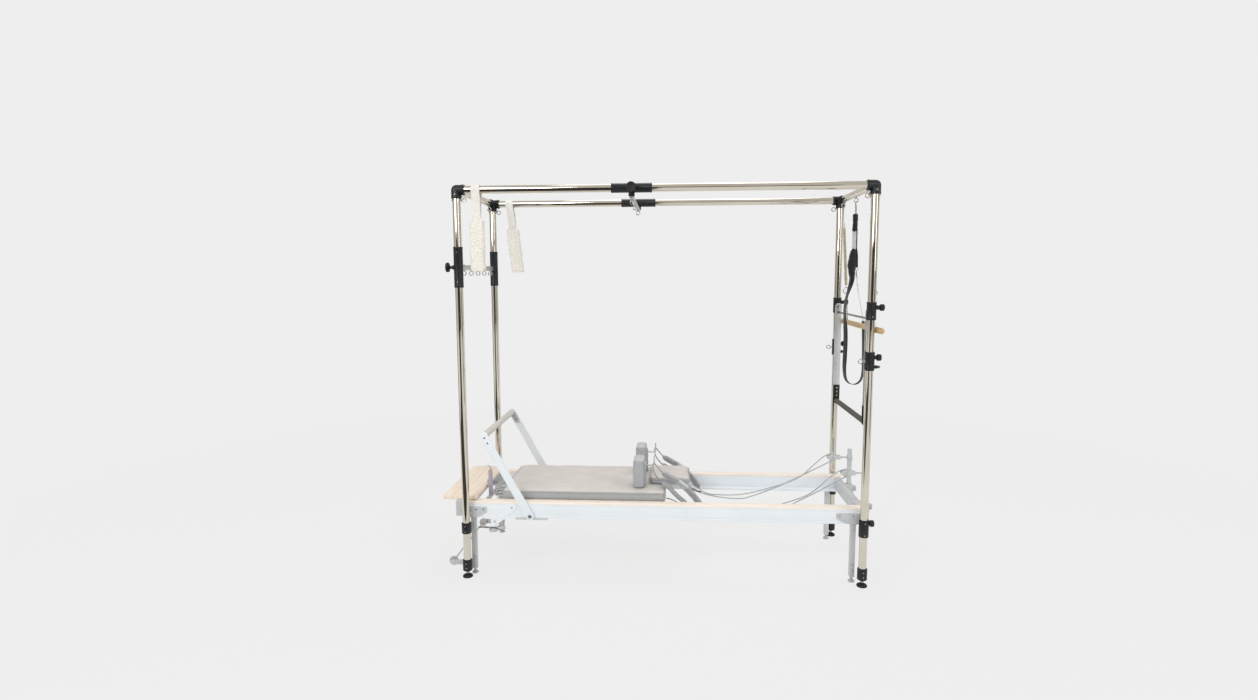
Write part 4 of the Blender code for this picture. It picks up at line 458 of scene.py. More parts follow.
def between(tree, amount, dark, light, low=0.3, high=0.7):
    """A colour that runs from dark to light as amount goes from low to high. A mix node has
    inputs for each kind of value, and those of a colour are the seventh and eighth."""
    share = add(tree, "ShaderNodeMapRange", {"Value": amount, "From Min": low, "From Max": high})
    return add(tree, "ShaderNodeMix", {0: share.outputs[0], 6: dark, 7: light},
        data_type="RGBA").outputs[2]


def rate(tree, amount, low, high):
    """A number that runs from low to high with noise."""
    return add(tree, "ShaderNodeMapRange", {"Value": amount, "From Min": 0.3, "From Max": 0.7,
        "To Min": low, "To Max": high}).outputs[0]


def raised(tree, shader, height, metres, below=None):
    """Bump of a height field that is so many metres from its lowest to its highest."""
    links = {"Height": height, "Distance": metres, "Strength": 1.0}
    if below is not None:
        links["Normal"] = below
    made = add(tree, "ShaderNodeBump", links)
    tree.links.new(made.outputs[0], shader.inputs["Normal"])
    return made.outputs[0]


def plain(name, code, roughness, metallic=0.0, ior=1.5, drift=(0.08, 0.94, 1.04),
        smudge=(0.05, 0.04), grit=(0.001, 0.00002), stretch=(1, 1, 1), **sockets):
    """A hard finish: its colour drifts over drift's size between two shares of its light,
    its roughness by smudge, and its surface by grit's size and height."""
    material, tree, shader, place = begin(name, roughness, metallic, ior, **sockets)
    vector = place.outputs["Object"]
    patch = speckle(tree, vector, drift[0], 4.0)
    feed(tree, shader, Base_Color=between(tree, patch, linear(code, drift[1]),
        linear(code, drift[2])))
    mark = speckle(tree, vector, smudge[0], 5.0, stretch, 0.4)
    feed(tree, shader, Roughness=rate(tree, mark, max(0.02, roughness - smudge[1]),
        roughness + smudge[1]))
    raised(tree, shader, speckle(tree, vector, grit[0], 2.0, stretch), grit[1])
    return material


def timber(name, dark, light, roughness, axis, ring=0.012):
    """Wood: long fibres along an axis, darker growth lines and fine pores."""
    material, tree, shader, place = begin(name, roughness, 0.0, 1.52)
    stretch = [1.0, 1.0, 1.0]
    stretch[axis] = 22.0
    vector = place.outputs["Object"]
    lines = speckle(tree, vector, ring, 4.0, stretch, 0.8)
    pores = speckle(tree, vector, 0.0016, 2.0, stretch)
    colour = between(tree, lines, linear(dark), linear(light), 0.35, 0.62)
    fleck = add(tree, "ShaderNodeMix", {0: rate(tree, pores, 0.0, 0.16), 6: colour,
        7: linear(dark, 0.75)}, data_type="RGBA")
    feed(tree, shader, Base_Color=fleck.outputs[2], Roughness=rate(tree, lines, roughness + 0.06,
        roughness - 0.05))
    raised(tree, shader, pores, 0.00008)
    return material


def woven(name, dark, light, thread=0.0016, roughness=0.85):
    """Webbing: ribs along and across from two sine waves on the piece's own UV. The thread
    is drawn at 1.6 mm, about twice the real one, so that it shows."""
    material, tree, shader, place = begin(name, roughness, 0.0, 1.5, Sheen_Weight=0.25,
        Sheen_Roughness=0.5)
    uv = place.outputs["UV"]
    ribs = [add(tree, "ShaderNodeTexWave", {"Vector": uv, "Scale": 1 / (math.pi * thread),
        "Distortion": 0.0}, wave_type="BANDS", bands_direction=way,
        wave_profile="SIN").outputs["Fac"] for way in "XY"]
    weave = add(tree, "ShaderNodeMath", {0: ribs[0], 1: ribs[1]}, operation="MULTIPLY")
    worn = speckle(tree, place.outputs["Object"], 0.02, 4.0)
    both = add(tree, "ShaderNodeMath", {0: weave.outputs[0], 1: worn}, operation="ADD")
    feed(tree, shader, Base_Color=between(tree, both.outputs[0], linear(dark), linear(light), 0.35,
        1.15))
    raised(tree, shader, weave.outputs[0], 0.0004)
    return material


def pile(name, dark, light):
    """Fleece: curled tufts about 5 mm across over finer wool, with a soft sheen, and painted
    shade that darkens the hollows between the tufts.
    """
    material, tree, shader, place = begin(name, 0.95, 0.0, 1.5, Sheen_Weight=0.6,
        Sheen_Roughness=0.6)
    vector = place.outputs["Object"]
    tufts = add(tree, "ShaderNodeTexVoronoi", {"Vector": vector, "Scale": 190.0,
        "Smoothness": 0.7}, feature="SMOOTH_F1")
    wool = speckle(tree, vector, 0.0022, 5.0, distortion=1.2)
    blend = add(tree, "ShaderNodeMath", {0: tufts.outputs["Distance"], 1: wool},
        operation="SUBTRACT")
    # painted shade: light on the tufts, dark in the hollows between them
    feed(tree, shader, Base_Color=between(tree, blend.outputs[0], linear(light), linear(dark),
        -0.25, 0.35))
    low = raised(tree, shader, wool, 0.0016)
    raised(tree, shader, tufts.outputs["Distance"], -0.0022, low)
    return material


def hide(name, dark, light, painted_side_shade, roughness=0.5):
    """Upholstery vinyl: a pebbled grain of 1.5 mm cells, dull in the creases between. The
    sides of a pad get painted shade: its colour turns cooler and darker with the slope."""
    material, tree, shader, place = begin(name, roughness, 0.0, 1.5, Sheen_Weight=0.1,
        Sheen_Roughness=0.5)
    vector = place.outputs["Object"]
    cells = add(tree, "ShaderNodeTexVoronoi", {"Vector": vector, "Scale": 620.0},
        feature="DISTANCE_TO_EDGE").outputs["Distance"]
    worn = speckle(tree, vector, 0.11, 4.0)
    slope = add(tree, "ShaderNodeSeparateXYZ", {0: place.outputs["Normal"]})
    top = between(tree, worn, linear(dark), linear(light))
    # painted shade: the sides, whose normals lean away from up, take the cooler, darker colour
    feed(tree, shader, Base_Color=between(tree, slope.outputs["Z"], linear(painted_side_shade), top, 0.45,
        0.62), Roughness=rate(tree, worn, roughness + 0.07, roughness - 0.07))
    raised(tree, shader, cells, 0.0002)
    return material


def laid(name, dark, light, pitch=0.006):
    """Rope: strands that wind round it, as slanted waves on its own UV."""
    material, tree, shader, place = begin(name, 0.85, 0.0, 1.5, Sheen_Weight=0.3,
        Sheen_Roughness=0.5)
    turn = add(tree, "ShaderNodeMapping", {"Vector": place.outputs["UV"],
        "Rotation": (0, 0, math.radians(38))})
    strands = add(tree, "ShaderNodeTexWave", {"Vector": turn.outputs[0], "Distortion": 0.4,
        "Scale": 1 / (math.pi * pitch)}, wave_type="BANDS", bands_direction="X").outputs["Fac"]
    feed(tree, shader, Base_Color=between(tree, strands, linear(dark), linear(light), 0.05, 0.8))
    raised(tree, shader, strands, 0.0006)
    return material


# Each finish: the slot that its pieces fill, the function that makes it and what that takes.
FINISHES = {
    # bright plating on drawn steel tube: mirror gloss with a warm cast and faint wipe marks
    "chrome_plated_tube": ("chrome", plain, "chrome", 0.07, 1.0,
        dict(drift=(0.25, 0.9, 1.02), smudge=(0.06, 0.03), grit=(0.05, 6e-7))),
    # chromed forged eyebolts, nuts and screws: a little brighter than the tube
    "chromed_hardware": ("chrome", plain, "#cfcbc3", 0.16, 1.0,
        dict(drift=(0.02, 0.8, 1.05), smudge=(0.01, 0.05))),
    # satin powder coat on a sand-cast joint: soft highlights with a fine orange peel
    "powder_coated_casting": ("cast_black", plain, "casting", 0.42,
        dict(drift=(0.03, 0.8, 1.3), grit=(0.0022, 0.00012))),
    # injection-moulded nylon: darker and duller than the castings
    "moulded_nylon": ("moulded_black", plain, "#0b0d11", 0.5,
        dict(ior=1.53, drift=(0.02, 0.8, 1.25), grit=(0.0012, 0.00006))),
    # ground steel bolt stock: grey with drawn lines
    "ground_steel": ("steel", plain, "#8e8d89", 0.3, 1.0,
        dict(drift=(0.03, 0.85, 1.05), grit=(0.0006, 0.00003), stretch=(1, 12, 1))),
    # brushed aluminium flat bar: pale with fine lines along the bar
    "brushed_aluminium": ("aluminium", plain, "#dfe2e4", 0.36, 1.0,
        dict(drift=(0.06, 0.9, 1.04), smudge=(0.012, 0.08),
        grit=(0.0009, 0.00001), stretch=(1, 1, 30))),
    # extruded aluminium cross bars of the sliders, lines along Y
    "extruded_aluminium": ("aluminium", plain, "#c8c9c9", 0.33, 1.0,
        dict(drift=(0.06, 0.85, 1.05), smudge=(0.012, 0.08),
        grit=(0.0009, 0.00001), stretch=(1, 30, 1))),
    # hard-drawn spring wire with a yellow passivated plating
    "spring_wire": ("steel", plain, "#d6ccb6", 0.27, 1.0,
        dict(drift=(0.02, 0.8, 1.08), smudge=(0.006, 0.08))),
    # closed-cell foam tube: matt with fine pores
    "closed_cell_foam": ("foam", plain, "#56534d", 0.88,
        dict(drift=(0.05, 0.85, 1.12), grit=(0.0014, 0.0003))),
    "pale_foam_sleeve": ("foam", plain, "#cfcbc6", 0.85,
        dict(drift=(0.05, 0.93, 1.04), grit=(0.0016, 0.0003))),
    # turned and oiled hardwood dowel, then limed birch: a board and the strips on the rails
    "oiled_maple_dowel": ("wood", timber, "#b08f63", "#d2b389", 0.42, 1, 0.009),
    "limed_birch_board": ("bed_wood", timber, "#ead6c0", "#faeee0", 0.5, 1, 0.016),
    "limed_birch_strip": ("bed_wood", timber, "#f0e2d3", "#fbf3ea", 0.5, 0, 0.014),
    # curled wool on a knitted back, and the knitted fleece of the hand loops
    "wool_fleece": ("fleece", pile, "fleece_shade", "fleece"),
    "bed_loop_fleece": ("bed_rope", pile, "#8f9193", "#b4b6b8"),
    # flat woven nylon and cotton tapes
    "white_cotton_webbing": ("fleece", woven, "#dedbd5", "#faf8f4"),
    "black_nylon_webbing": ("webbing", woven, "#060607", "#17171a"),
    "grey_cotton_webbing": ("webbing", woven, "#b9bcc0", "#e0e2e4"),
    "bed_loop_webbing": ("bed_rope", woven, "#85878a", "#aeb0b3"),
    # baked enamel on the bed's extrusions: cool white, slightly glossy
    "white_baked_enamel": ("bed_white", plain, "bed_rail", 0.32,
        dict(ior=1.52, drift=(0.2, 0.965, 1.01), grit=(0.003, 0.00003))),
    # coated, moulded and plated parts under the bed
    "grey_coated_steel": ("bed_grey", plain, "#c6c8ca", 0.45,
        dict(drift=(0.04, 0.93, 1.04), grit=(0.002, 0.00006))),
    "grey_moulded_nylon": ("bed_grey", plain, "#bcbcbd", 0.55,
        dict(ior=1.53, drift=(0.03, 0.92, 1.05), grit=(0.0014, 0.00006))),
    "violet_grey_handle": ("bed_metal", plain, "#b9b3c0", 0.5, dict(drift=(0.03, 0.93, 1.05))),
    "zinc_plated_steel": ("bed_metal", plain, "#d2d3d4", 0.34, 1.0,
        dict(drift=(0.02, 0.9, 1.03), smudge=(0.01, 0.06))),
    # pads: coated cloth, warm grey on top, with painted shade that turns the sides cooler and
    # darker
    "pad_vinyl": ("bed_upholstery", hide, "#c9c4bf", "#d3cec9", "#aeb1b5"),
    "pad_side_vinyl": ("bed_upholstery", hide, "#b3b6b9", "#bfc1c4", "#a9acb0"),
    "piping_cord": ("bed_upholstery", plain, "#b9b7b5", 0.55, dict(drift=(0.01, 0.93, 1.05))),
    # braided polyester rope
    "braided_rope": ("bed_rope", laid, "#989ba0", "#c3c5c8"),
    "rubber_pad": ("cast_black", plain, "#1c1c1d", 0.7,
        dict(drift=(0.02, 0.8, 1.2), grit=(0.002, 0.0001))),
}
MADE = {}


def coat(name):
    """The material of that finish, which is made when a piece first asks for it."""
    if name not in MADE:
        _, kind, *values = FINISHES[name]
        settings = values.pop() if isinstance(values[-1], dict) else {}
        MADE[name] = kind(name, *values, **settings)
    return MADE[name]


# ---- making pieces

def placed(name, data):
    """A new object of the scene."""
    made = bpy.data.objects.new(name, data)
    bpy.context.collection.objects.link(made)
    return made


def put(name, shape, finish, body, *stands_for, slot=None, sharp=38.0):
    """Make a piece from a shape: its points are written to a mesh at the frame's origin,
    edges turn sharp past an angle, and it rides on a body in place of the solids that it
    stands for. A body of None leaves it free. The slot argument is not used."""
    mesh = bpy.data.meshes.new(name)
    quads, tris = len(shape.quads), len(shape.tris)
    mesh.vertices.add(len(shape.points))
    mesh.vertices.foreach_set("co", (shape.points + ORIGIN).astype(np.float32).ravel())
    mesh.loops.add(quads * 4 + tris * 3)
    mesh.loops.foreach_set("vertex_index",
        np.concatenate((shape.quads.ravel(), shape.tris.ravel())).astype(np.int32))
    mesh.polygons.add(quads + tris)
    starts = np.concatenate((np.arange(quads) * 4, quads * 4 + np.arange(tris) * 3))
    mesh.polygons.foreach_set("loop_start", starts.astype(np.int32))
    uv = mesh.uv_layers.new(name="UVMap")
    mesh.update(calc_edges=True)
    uv.data.foreach_set("uv",
        np.concatenate((shape.quad_uv.ravel(), shape.tri_uv.ravel())).astype(np.float32))
    mesh.shade_smooth()
    mesh.set_sharp_from_angle(angle=math.radians(sharp))
    mesh.validate()
    mesh.materials.append(coat(finish))
    piece = placed(name, mesh)
    if body:
        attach(piece, body)
    if stands_for:
        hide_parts(*stands_for)
    return piece


def eyebolt(root, axis, shank, plane=Y):
    """An eyebolt: a round shank out of a face along an axis, its collar, and a ring that
    lies in the plane square to plane."""
    root, axis = floats(root, axis)
    centre = root + axis * (shank + EYE_R)
    return join(rod(root - axis * 0.002, root + axis * (shank + 0.0012), 0.0034, sides=16),
        rod(root - axis * 0.0005, root + axis * 0.0022, 0.0062, 0.0008, 20),
        torus(centre, plane, EYE_R, EYE_WIRE, 40, 12))


def knob_rows(point, axis, line, size, angle):
    """Rows of a knob: each ring lies at its height up the axis and has its own radii."""
    first, second, axis = basis(axis)
    out = np.cos(angle)[:, None] * first + np.sin(angle)[:, None] * second
    return np.array(point, float) + line[:, 1, None, None] * axis + size[..., None] * out


def fluted_knob(point, axis, radius=0.018, tall=0.027, lobes=9):
    """A fluted hand knob: the radius of each ring is R (1 - 0.10 ((1 + cos(n a)) / 2)^2),
    and its rim rounds off at both faces."""
    a = round_angles(lobes * 10)
    flute = 1 - 0.1 * (0.5 + 0.5 * np.cos(lobes * a)) ** 2
    line = np.array([(0.5, 0.0), (0.56, 0.004), (0.6, 0.14), (0.9, 0.2), (1.0, 0.3), (1.0, 0.8),
        (0.95, 0.94), (0.84, 1.0), (0.4, 1.0), (0.36, 0.94), (0.12, 0.94)]) * (1, tall)
    share = np.clip((line[:, 0] - 0.62) / 0.25, 0, 1)[:, None]
    size = line[:, 0, None] * radius * (1 + share * (flute - 1)[None, :])
    return loft(knob_rows(point, axis, line, size, a))


def disc_knob(point, axis, radius=0.026, tall=0.018, neck=0.0):
    """A round knob with a shallow dished face and a knurled rim of 48 ribs, on a neck."""
    a = round_angles(192)
    line = np.array([(0.42, 0.0), (0.44, 0.18), (0.86, 0.22), (0.97, 0.28), (1.0, 0.36),
        (1.0, 0.86), (0.96, 0.97), (0.88, 1.0), (0.7, 0.94), (0.3, 0.9),
        (0.1, 0.9)]) * (1, tall) + (0, neck)
    if neck:
        line = np.concatenate(([(0.31, 0.0), (0.31, neck)], line))
    rib = np.where(line[:, 0] > 0.99, 0.014, 0.0)[:, None] * np.cos(48 * a)[None, :]
    size = (line[:, 0, None] - np.abs(rib) / 2 + rib / 2) * radius
    return loft(knob_rows(point, axis, line, size, a))


# ---- the tower

def post_pieces(end, name_end, side, name_side):
    """One post: its tube, its corner casting, its joiner, its foot socket, its eyebolt and
    the levelling foot below. end is -1 at the left and 1 at the right."""
    name = f"{name_side}_{name_end}"
    x, y = end * HX, side * HY
    low, high = (0.26, 0.32) if end < 0 else (0.284, 0.379)
    put(f"{name}_post_tube", pipe((x, y, 0.046), (x, y, RAIL_Z - 0.012), TUBE_R, TUBE_R - 0.002,
        0.0008, 64), "chrome_plated_tube", "frame", f"{name}_post")
    inward_x, inward_y = -end * X, -side * Y
    corner = np.array((x, y, RAIL_Z))
    arms = [lathe([(0, -0.008), (CAST_R - 0.004, -0.008), (CAST_R, 0.0), (CAST_R, 0.034),
        (CAST_R + 0.0012, 0.036), (CAST_R + 0.0012, 0.044), (CAST_R - 0.001, 0.046),
        (TUBE_R - 0.0003, 0.046), (TUBE_R - 0.0003, 0.04), (0, 0.04)], corner, way, 48)
        for way in (inward_x, inward_y, -Z)]
    ball = lathe([(0, -CAST_R), (CAST_R * 0.5, -CAST_R * 0.866), (CAST_R * 0.866, -CAST_R * 0.5),
        (CAST_R, 0), (CAST_R * 0.866, CAST_R * 0.5), (CAST_R * 0.5, CAST_R * 0.866), (0, CAST_R)],
        corner, Z, 48, 0.008, 4)
    put(f"{name}_corner_casting", join(ball, *arms), "powder_coated_casting", "frame")
    up = CAST_R - 0.0005
    bolts = [screw(corner + inward_x * 0.03 + up * Z, Z, 0.0055, 0.004),
        screw(corner + inward_y * 0.03 + up * end * X, end * X, 0.0055, 0.004),
        screw((x, y + side * up, RAIL_Z - 0.026), side * Y, 0.0055, 0.004)]
    put(f"{name}_corner_bolts", join(*bolts), "chromed_hardware", "frame")

    joiner = lathe([(TUBE_R - 0.0002, low), (CAST_R - 0.001, low), (CAST_R, low + 0.002),
        (CAST_R, high - 0.002), (CAST_R - 0.001, high), (TUBE_R - 0.0002, high)], (x, y, 0), Z, 56)
    pieces = [joiner]
    if end > 0:
        pieces.append(lathe([(0, 0.01), (0.01, 0.01), (0.01, SLEEVE_R - 0.001), (0.0085, SLEEVE_R),
            (0, SLEEVE_R)], (x, y, high - 0.02), X, 28))
    socket = lathe([(0.0058, 0.041), (CAST_R - 0.002, 0.0402), (CAST_R, 0.0425), (CAST_R, 0.1),
        (CAST_R - 0.0015, 0.104), (TUBE_R - 0.0002, 0.104), (TUBE_R - 0.0002, 0.06),
        (0.0058, 0.058)], (x, y, 0), Z, 56)
    put(f"{name}_joiner_and_socket", join(*pieces, socket), "powder_coated_casting", "frame")
    face = side * (CAST_R - 0.0006)
    heights = (low + 0.014, high - 0.014, 0.06, 0.086)
    screws = [screw((x, y + face, z), side * Y, 0.0038, 0.0024) for z in heights]
    put(f"{name}_joiner_screws", join(*screws), "chromed_hardware", "frame")
    inner = np.array((x - end * (TUBE_R - 0.001), y, POST_EYE_Z))
    outer = (x + end * (TUBE_R - 0.0006), y, POST_EYE_Z)
    put(f"{name}_eyebolt", join(eyebolt(inner, inward_x, 0.009, Y),
        hex_head(outer, end * X, 0.011, 0.0045)), "chromed_hardware", "frame")

    pad = lathe([(0, 0.0), (0.0265, 0.0), (0.0285, 0.002), (0.0285, 0.008), (0.0245, 0.012),
        (0.014, 0.0175), (0.0095, 0.0215), (0.0, 0.0215)], (x, y, 0), Z, 48, 0.0006, 2)
    put(f"{name}_levelling_pad", pad, "rubber_pad", f"{name}_levelling", f"{name}_foot")
    z = np.linspace(0.018, 0.057, 60)
    thread = 0.0045 + 0.0004 * np.cos(2 * math.pi * z / 0.0016)
    stud = lathe(np.concatenate(([(0, z[0])], columns(thread, z), [(0, z[-1])])), (x, y, 0), Z, 20)
    put(f"{name}_levelling_stud", join(stud, hex_head((x, y, 0.024), Z, 0.017, 0.006)),
        "chromed_hardware", f"{name}_levelling")


class FramePosts(bpy.types.Operator):
    """Make the four posts with their castings, joiners, eyebolts and levelling feet"""
    bl_idname = "trapeze.frame_posts"
    bl_label = "Posts and feet"

    def execute(self, context):
        for end, name_end in ((-1, "left"), (1, "right")):
            for side, name_side in SIDES:
                post_pieces(end, name_end, side, name_side)
        for side, name in SIDES:
            point = (HX + SLEEVE_R + 0.0003, side * HY, 0.359)
            put(f"{name}_joiner_hand_knob", fluted_knob(point, X), "moulded_nylon",
                f"{name}_joiner_clamp", f"{name}_joiner_knob")
        return {"FINISHED"}


class FrameRails(bpy.types.Operator):
    """Make the two long top rails and the two end rails with their eyebolts"""
    bl_idname = "trapeze.frame_rails"
    bl_label = "Top rails"

    def execute(self, context):
        for side, name in SIDES:
            put(f"{name}_top_rail_tube", pipe((-HX + 0.04, side * HY, RAIL_Z),
                (HX - 0.04, side * HY, RAIL_Z), TUBE_R - 0.0001, TUBE_R - 0.002, 0.0006, 64),
                "chrome_plated_tube", "frame", f"{name}_top_rail")
        for end, name in ((-1, "left"), (1, "right")):
            x = end * HX
            put(f"{name}_end_rail_tube", pipe((x, -HY + 0.04, RAIL_Z), (x, HY - 0.04, RAIL_Z),
                TUBE_R - 0.0001, TUBE_R - 0.002, 0.0006, 64), "chrome_plated_tube", "frame",
                f"{name}_end_rail")
            eyes = []
            for y in RAIL_EYES:
                eyes += [eyebolt((x, y, RAIL_Z - TUBE_R + 0.001), -Z, 0.006, Y),
                    hex_head((x, y, RAIL_Z + TUBE_R - 0.0005), Z, 0.011, 0.0045)]
            put(f"{name}_end_rail_eyebolts", join(*eyes), "chromed_hardware", "frame")
        return {"FINISHED"}


# ---- sliders

def sleeve(centre, axis, length, radius=SLEEVE_R):
    """A black sleeve round a tube, with a raised lip at each mouth."""
    half = length / 2
    start = np.array(centre, float) - half * np.array(axis, float)
    bore = TUBE_R + 0.0004
    return lathe([(bore, 0), (radius - 0.0006, 0), (radius + 0.0004, 0.0015),
        (radius + 0.0004, 0.009), (radius - 0.0002, 0.011), (radius - 0.0002, length - 0.011),
        (radius + 0.0004, length - 0.009), (radius + 0.0004, length - 0.0015),
        (radius - 0.0006, length), (bore, length)], start, axis, 56)


class LeftSlider(bpy.types.Operator):
    """Make the slider on the left posts: two sleeves, an aluminium bar and five eyebolts"""
    bl_idname = "trapeze.left_slider"
    bl_label = "Left slider"

    def execute(self, context):
        sleeves, screws = [], []
        for side, _ in SIDES:
            sleeves.append(sleeve((-HX, side * HY, LEFT_Z), Z, 0.22))
            near, far = sorted((side * (HY - 0.046), side * (HY - 0.02)))
            sleeves.append(box((-HX - 0.011, near, LEFT_Z - 0.018),
                (-HX + 0.011, far, LEFT_Z + 0.018), 0.003))
            screws += [screw((-HX, side * (HY + SLEEVE_R - 0.0006), LEFT_Z + z), side * Y, 0.0036)
                for z in (-0.08, 0.08)]
        boss = drum((-HX, -HY, LEFT_Z), -X, 0.012, 0.012, SLEEVE_R + 0.0075, 28)
        put("left_slider_sleeves", join(*sleeves, boss), "powder_coated_casting",
            "left_cross_slider", "left_slider")
        inner = HY - 0.044
        put("left_slider_bar", box((-HX - 0.007, -inner, LEFT_Z - 0.014),
            (-HX + 0.007, inner, LEFT_Z + 0.014), 0.0015), "extruded_aluminium",
            "left_cross_slider")
        eyes = [eyebolt((-HX, k * 0.136, LEFT_Z - 0.0135), -Z, 0.006, Y) for k in range(-2, 3)]
        nuts = [hex_head((-HX, k * 0.136, LEFT_Z + 0.0135), Z, 0.01, 0.0035) for k in range(-2, 3)]
        put("left_slider_eyebolts", join(*eyes, *nuts, *screws), "chromed_hardware",
            "left_cross_slider")
        put("left_slider_hand_knob", disc_knob((-HX - SLEEVE_R - 0.0083, -HY, LEFT_Z), -X,
            neck=0.0155), "moulded_nylon", "left_slider_clamp", "left_slider_knob")
        return {"FINISHED"}


class CanopySlider(bpy.types.Operator):
    """Make the slider on the long rails: two sleeves, a low aluminium bar and its eyebolts"""
    bl_idname = "trapeze.canopy_slider"
    bl_label = "Canopy slider"

    def execute(self, context):
        top = RAIL_Z - SLEEVE_R + 0.003
        sleeves = [sleeve((CANOPY_X, side * HY, RAIL_Z), X, 0.217) for side, _ in SIDES]
        for side, _ in SIDES:
            near, far = sorted((side * (HY - 0.014), side * (HY + 0.014)))
            sleeves.append(box((CANOPY_X - 0.016, near, top - 0.022), (CANOPY_X + 0.016, far, top),
                0.003))
        boss = drum((CANOPY_X, -HY, RAIL_Z), -Y, 0.012, 0.012, SLEEVE_R + 0.0075, 28)
        put("canopy_sleeves", join(*sleeves, boss), "powder_coated_casting", "canopy",
            "canopy_slider")
        face = top - 0.018
        put("canopy_bar", box((CANOPY_X - 0.012, -HY - 0.01, face - 0.012),
            (CANOPY_X + 0.012, HY + 0.01, face), 0.0015), "extruded_aluminium", "canopy")
        eyes = [eyebolt((CANOPY_X, y, face - 0.0115), -Z, 0.006, Y) for y in (-0.31, 0.0, 0.31)]
        put("canopy_eyebolts", join(*eyes), "chromed_hardware", "canopy")
        put("canopy_hand_knob", disc_knob((CANOPY_X, -HY - SLEEVE_R - 0.0083, RAIL_Z), -Y,
            neck=0.0155), "moulded_nylon", "canopy_clamp", "canopy_knob")
        return {"FINISHED"}


# ---- push-through bar

class PushBar(bpy.types.Operator):
    """Make the push-through bar: its carriers, flat arms, cross rod, brackets and foam tube"""
    bl_idname = "trapeze.push_bar"
    bl_label = "Push-through bar"

    def execute(self, context):
        for side, name in SIDES:
            y = side * HY
            body = sleeve((HX, y, 1.5185), Z, 0.095)
            boss = drum((HX, y, PUSH_KNOB_Z), X, 0.012, 0.01, 0.0375)
            shoulder = drum((HX, y, PIVOT_Z), -side * Y, 0.0125, 0.016, 0.0385)
            put(f"{name}_push_sleeve", join(body, boss, shoulder), "powder_coated_casting",
                "push_carriers", f"{name}_push_carrier")
            pin = join(rod((HX, side * 0.34, PIVOT_Z), (HX, side * 0.3235, PIVOT_Z), 0.0058),
                hex_head((HX, side * 0.3242, PIVOT_Z), -side * Y, 0.0185, 0.0046),
                screw((HX, side * (HY + SLEEVE_R - 0.0006), PIVOT_Z - 0.022), side * Y, 0.004))
            put(f"{name}_push_pivot_bolt", pin, "chromed_hardware", "push_carriers")
            put(f"{name}_push_hand_knob", fluted_knob((HX + 0.0383, y, PUSH_KNOB_Z), X),
                "moulded_nylon", f"{name}_push_clamp", f"{name}_push_knob")
        low = PIVOT_Z - 0.505                           # the arms end inside the brackets
        arm = np.concatenate(([(-ARM_HALF, low), (ARM_HALF, low)], arc(ARM_HALF, 0, math.pi, 17)
            + (0, PIVOT_Z + 0.002)))
        foot = np.concatenate((arc(ARM_HALF, math.pi, 2 * math.pi, 17) + (0, FOAM_Z),
            [(ARM_HALF, BRACKET_TOP), (-ARM_HALF, BRACKET_TOP)]))
        arms, brackets, bolts = [], [], []
        for side, _ in SIDES:
            arms.append(plate(arm, 0.006, (HX, side * ARM_Y, 0), -side * X, Z, 0.0009))
            brackets.append(plate(foot, 0.0052, (HX, side * BRACKET_Y, 0), -side * X, Z, 0.0009))
            bolts += [screw((HX, side * 0.3203, BRACKET_TOP - drop), -side * Y, 0.006, 0.0032)
                for drop in (0.018, 0.042, 0.066)]
            bolts.append(lathe([(0.0062, 0.3305), (0.0105, 0.3305), (0.0105, 0.3313),
                (0.0062, 0.3313)], (HX, 0, PIVOT_Z), side * Y, 32))
        put("push_bar_flat_arms", join(*arms), "brushed_aluminium", "push_bar", "push_bar_arms")
        put("push_bar_brackets", join(*brackets), "powder_coated_casting", "push_bar")
        put("push_bar_bolts", join(*bolts), "chromed_hardware", "push_bar")
        cross = join(rod((HX, -0.3255, ROD_Z), (HX, 0.3255, ROD_Z), 0.006),
            *[drum((HX, side * BRACKET_Y, ROD_Z), -side * Y, 0.0085, 0, 0.004, 24, 0.0008)
            for side, _ in SIDES])
        put("push_bar_cross_rod", cross, "ground_steel", "push_bar")
        end = 0.3195
        tube = lathe([(0, -end), (0.0125, -end), (0.0155, -end + 0.002), (0.0155, end - 0.002),
            (0.0125, end), (0, end)], (HX, 0, FOAM_Z), Y, 48, 0.001, 2)
        put("push_bar_foam_tube", tube, "closed_cell_foam", "push_bar", "push_bar_foam")
        return {"FINISHED"}


class SpringCollars(bpy.types.Operator):
    """Make the two collars on the right posts, each with its eyebolt, hand knob and pull pin"""
    bl_idname = "trapeze.spring_collars"
    bl_label = "Spring collars"

    def execute(self, context):
        for side, name in SIDES:
            y = side * HY
            body = sleeve((HX, y, 1.252), Z, 0.1)
            boss = drum((HX, y, COLLAR_KNOB_Z), X, 0.011, 0.01, SLEEVE_R + 0.0058)
            barrel = lathe([(0.0047, 0.0225), (0.009, 0.0225), (0.009, SLEEVE_R + 0.012),
                (0.0078, SLEEVE_R + 0.018), (0.0047, SLEEVE_R + 0.018)], (HX, y, COLLAR_PIN_Z), X,
                32)
            put(f"{name}_collar_sleeve", join(body, boss, barrel), "powder_coated_casting",
                f"{name}_spring_collar", f"{name}_collar")
            put(f"{name}_collar_eyebolt", eyebolt((HX - SLEEVE_R + 0.001, y, COLLAR_EYE_Z), -X,
                0.012, Y), "chromed_hardware", f"{name}_spring_collar")
            pin = lathe([(0, 0.0236), (0.0038, 0.024), (0.004, 0.026), (0.004, 0.0438),
                (0.0068, 0.044), (0.0075, 0.045), (0.0075, 0.047), (0.0062, 0.0482),
                (0.0062, 0.05), (0.0075, 0.0512), (0.0075, 0.0528), (0.006, 0.054), (0, 0.054)],
                (HX, y, COLLAR_PIN_Z), X, 28)
            put(f"{name}_collar_pull_pin", pin, "ground_steel", f"{name}_index_pin",
                f"{name}_collar_pin")
            put(f"{name}_collar_hand_knob", fluted_knob((HX + SLEEVE_R + 0.0063, y, COLLAR_KNOB_Z),
                X), "moulded_nylon", f"{name}_collar_clamp", f"{name}_collar_knob")
        return {"FINISHED"}


# ---- hangings

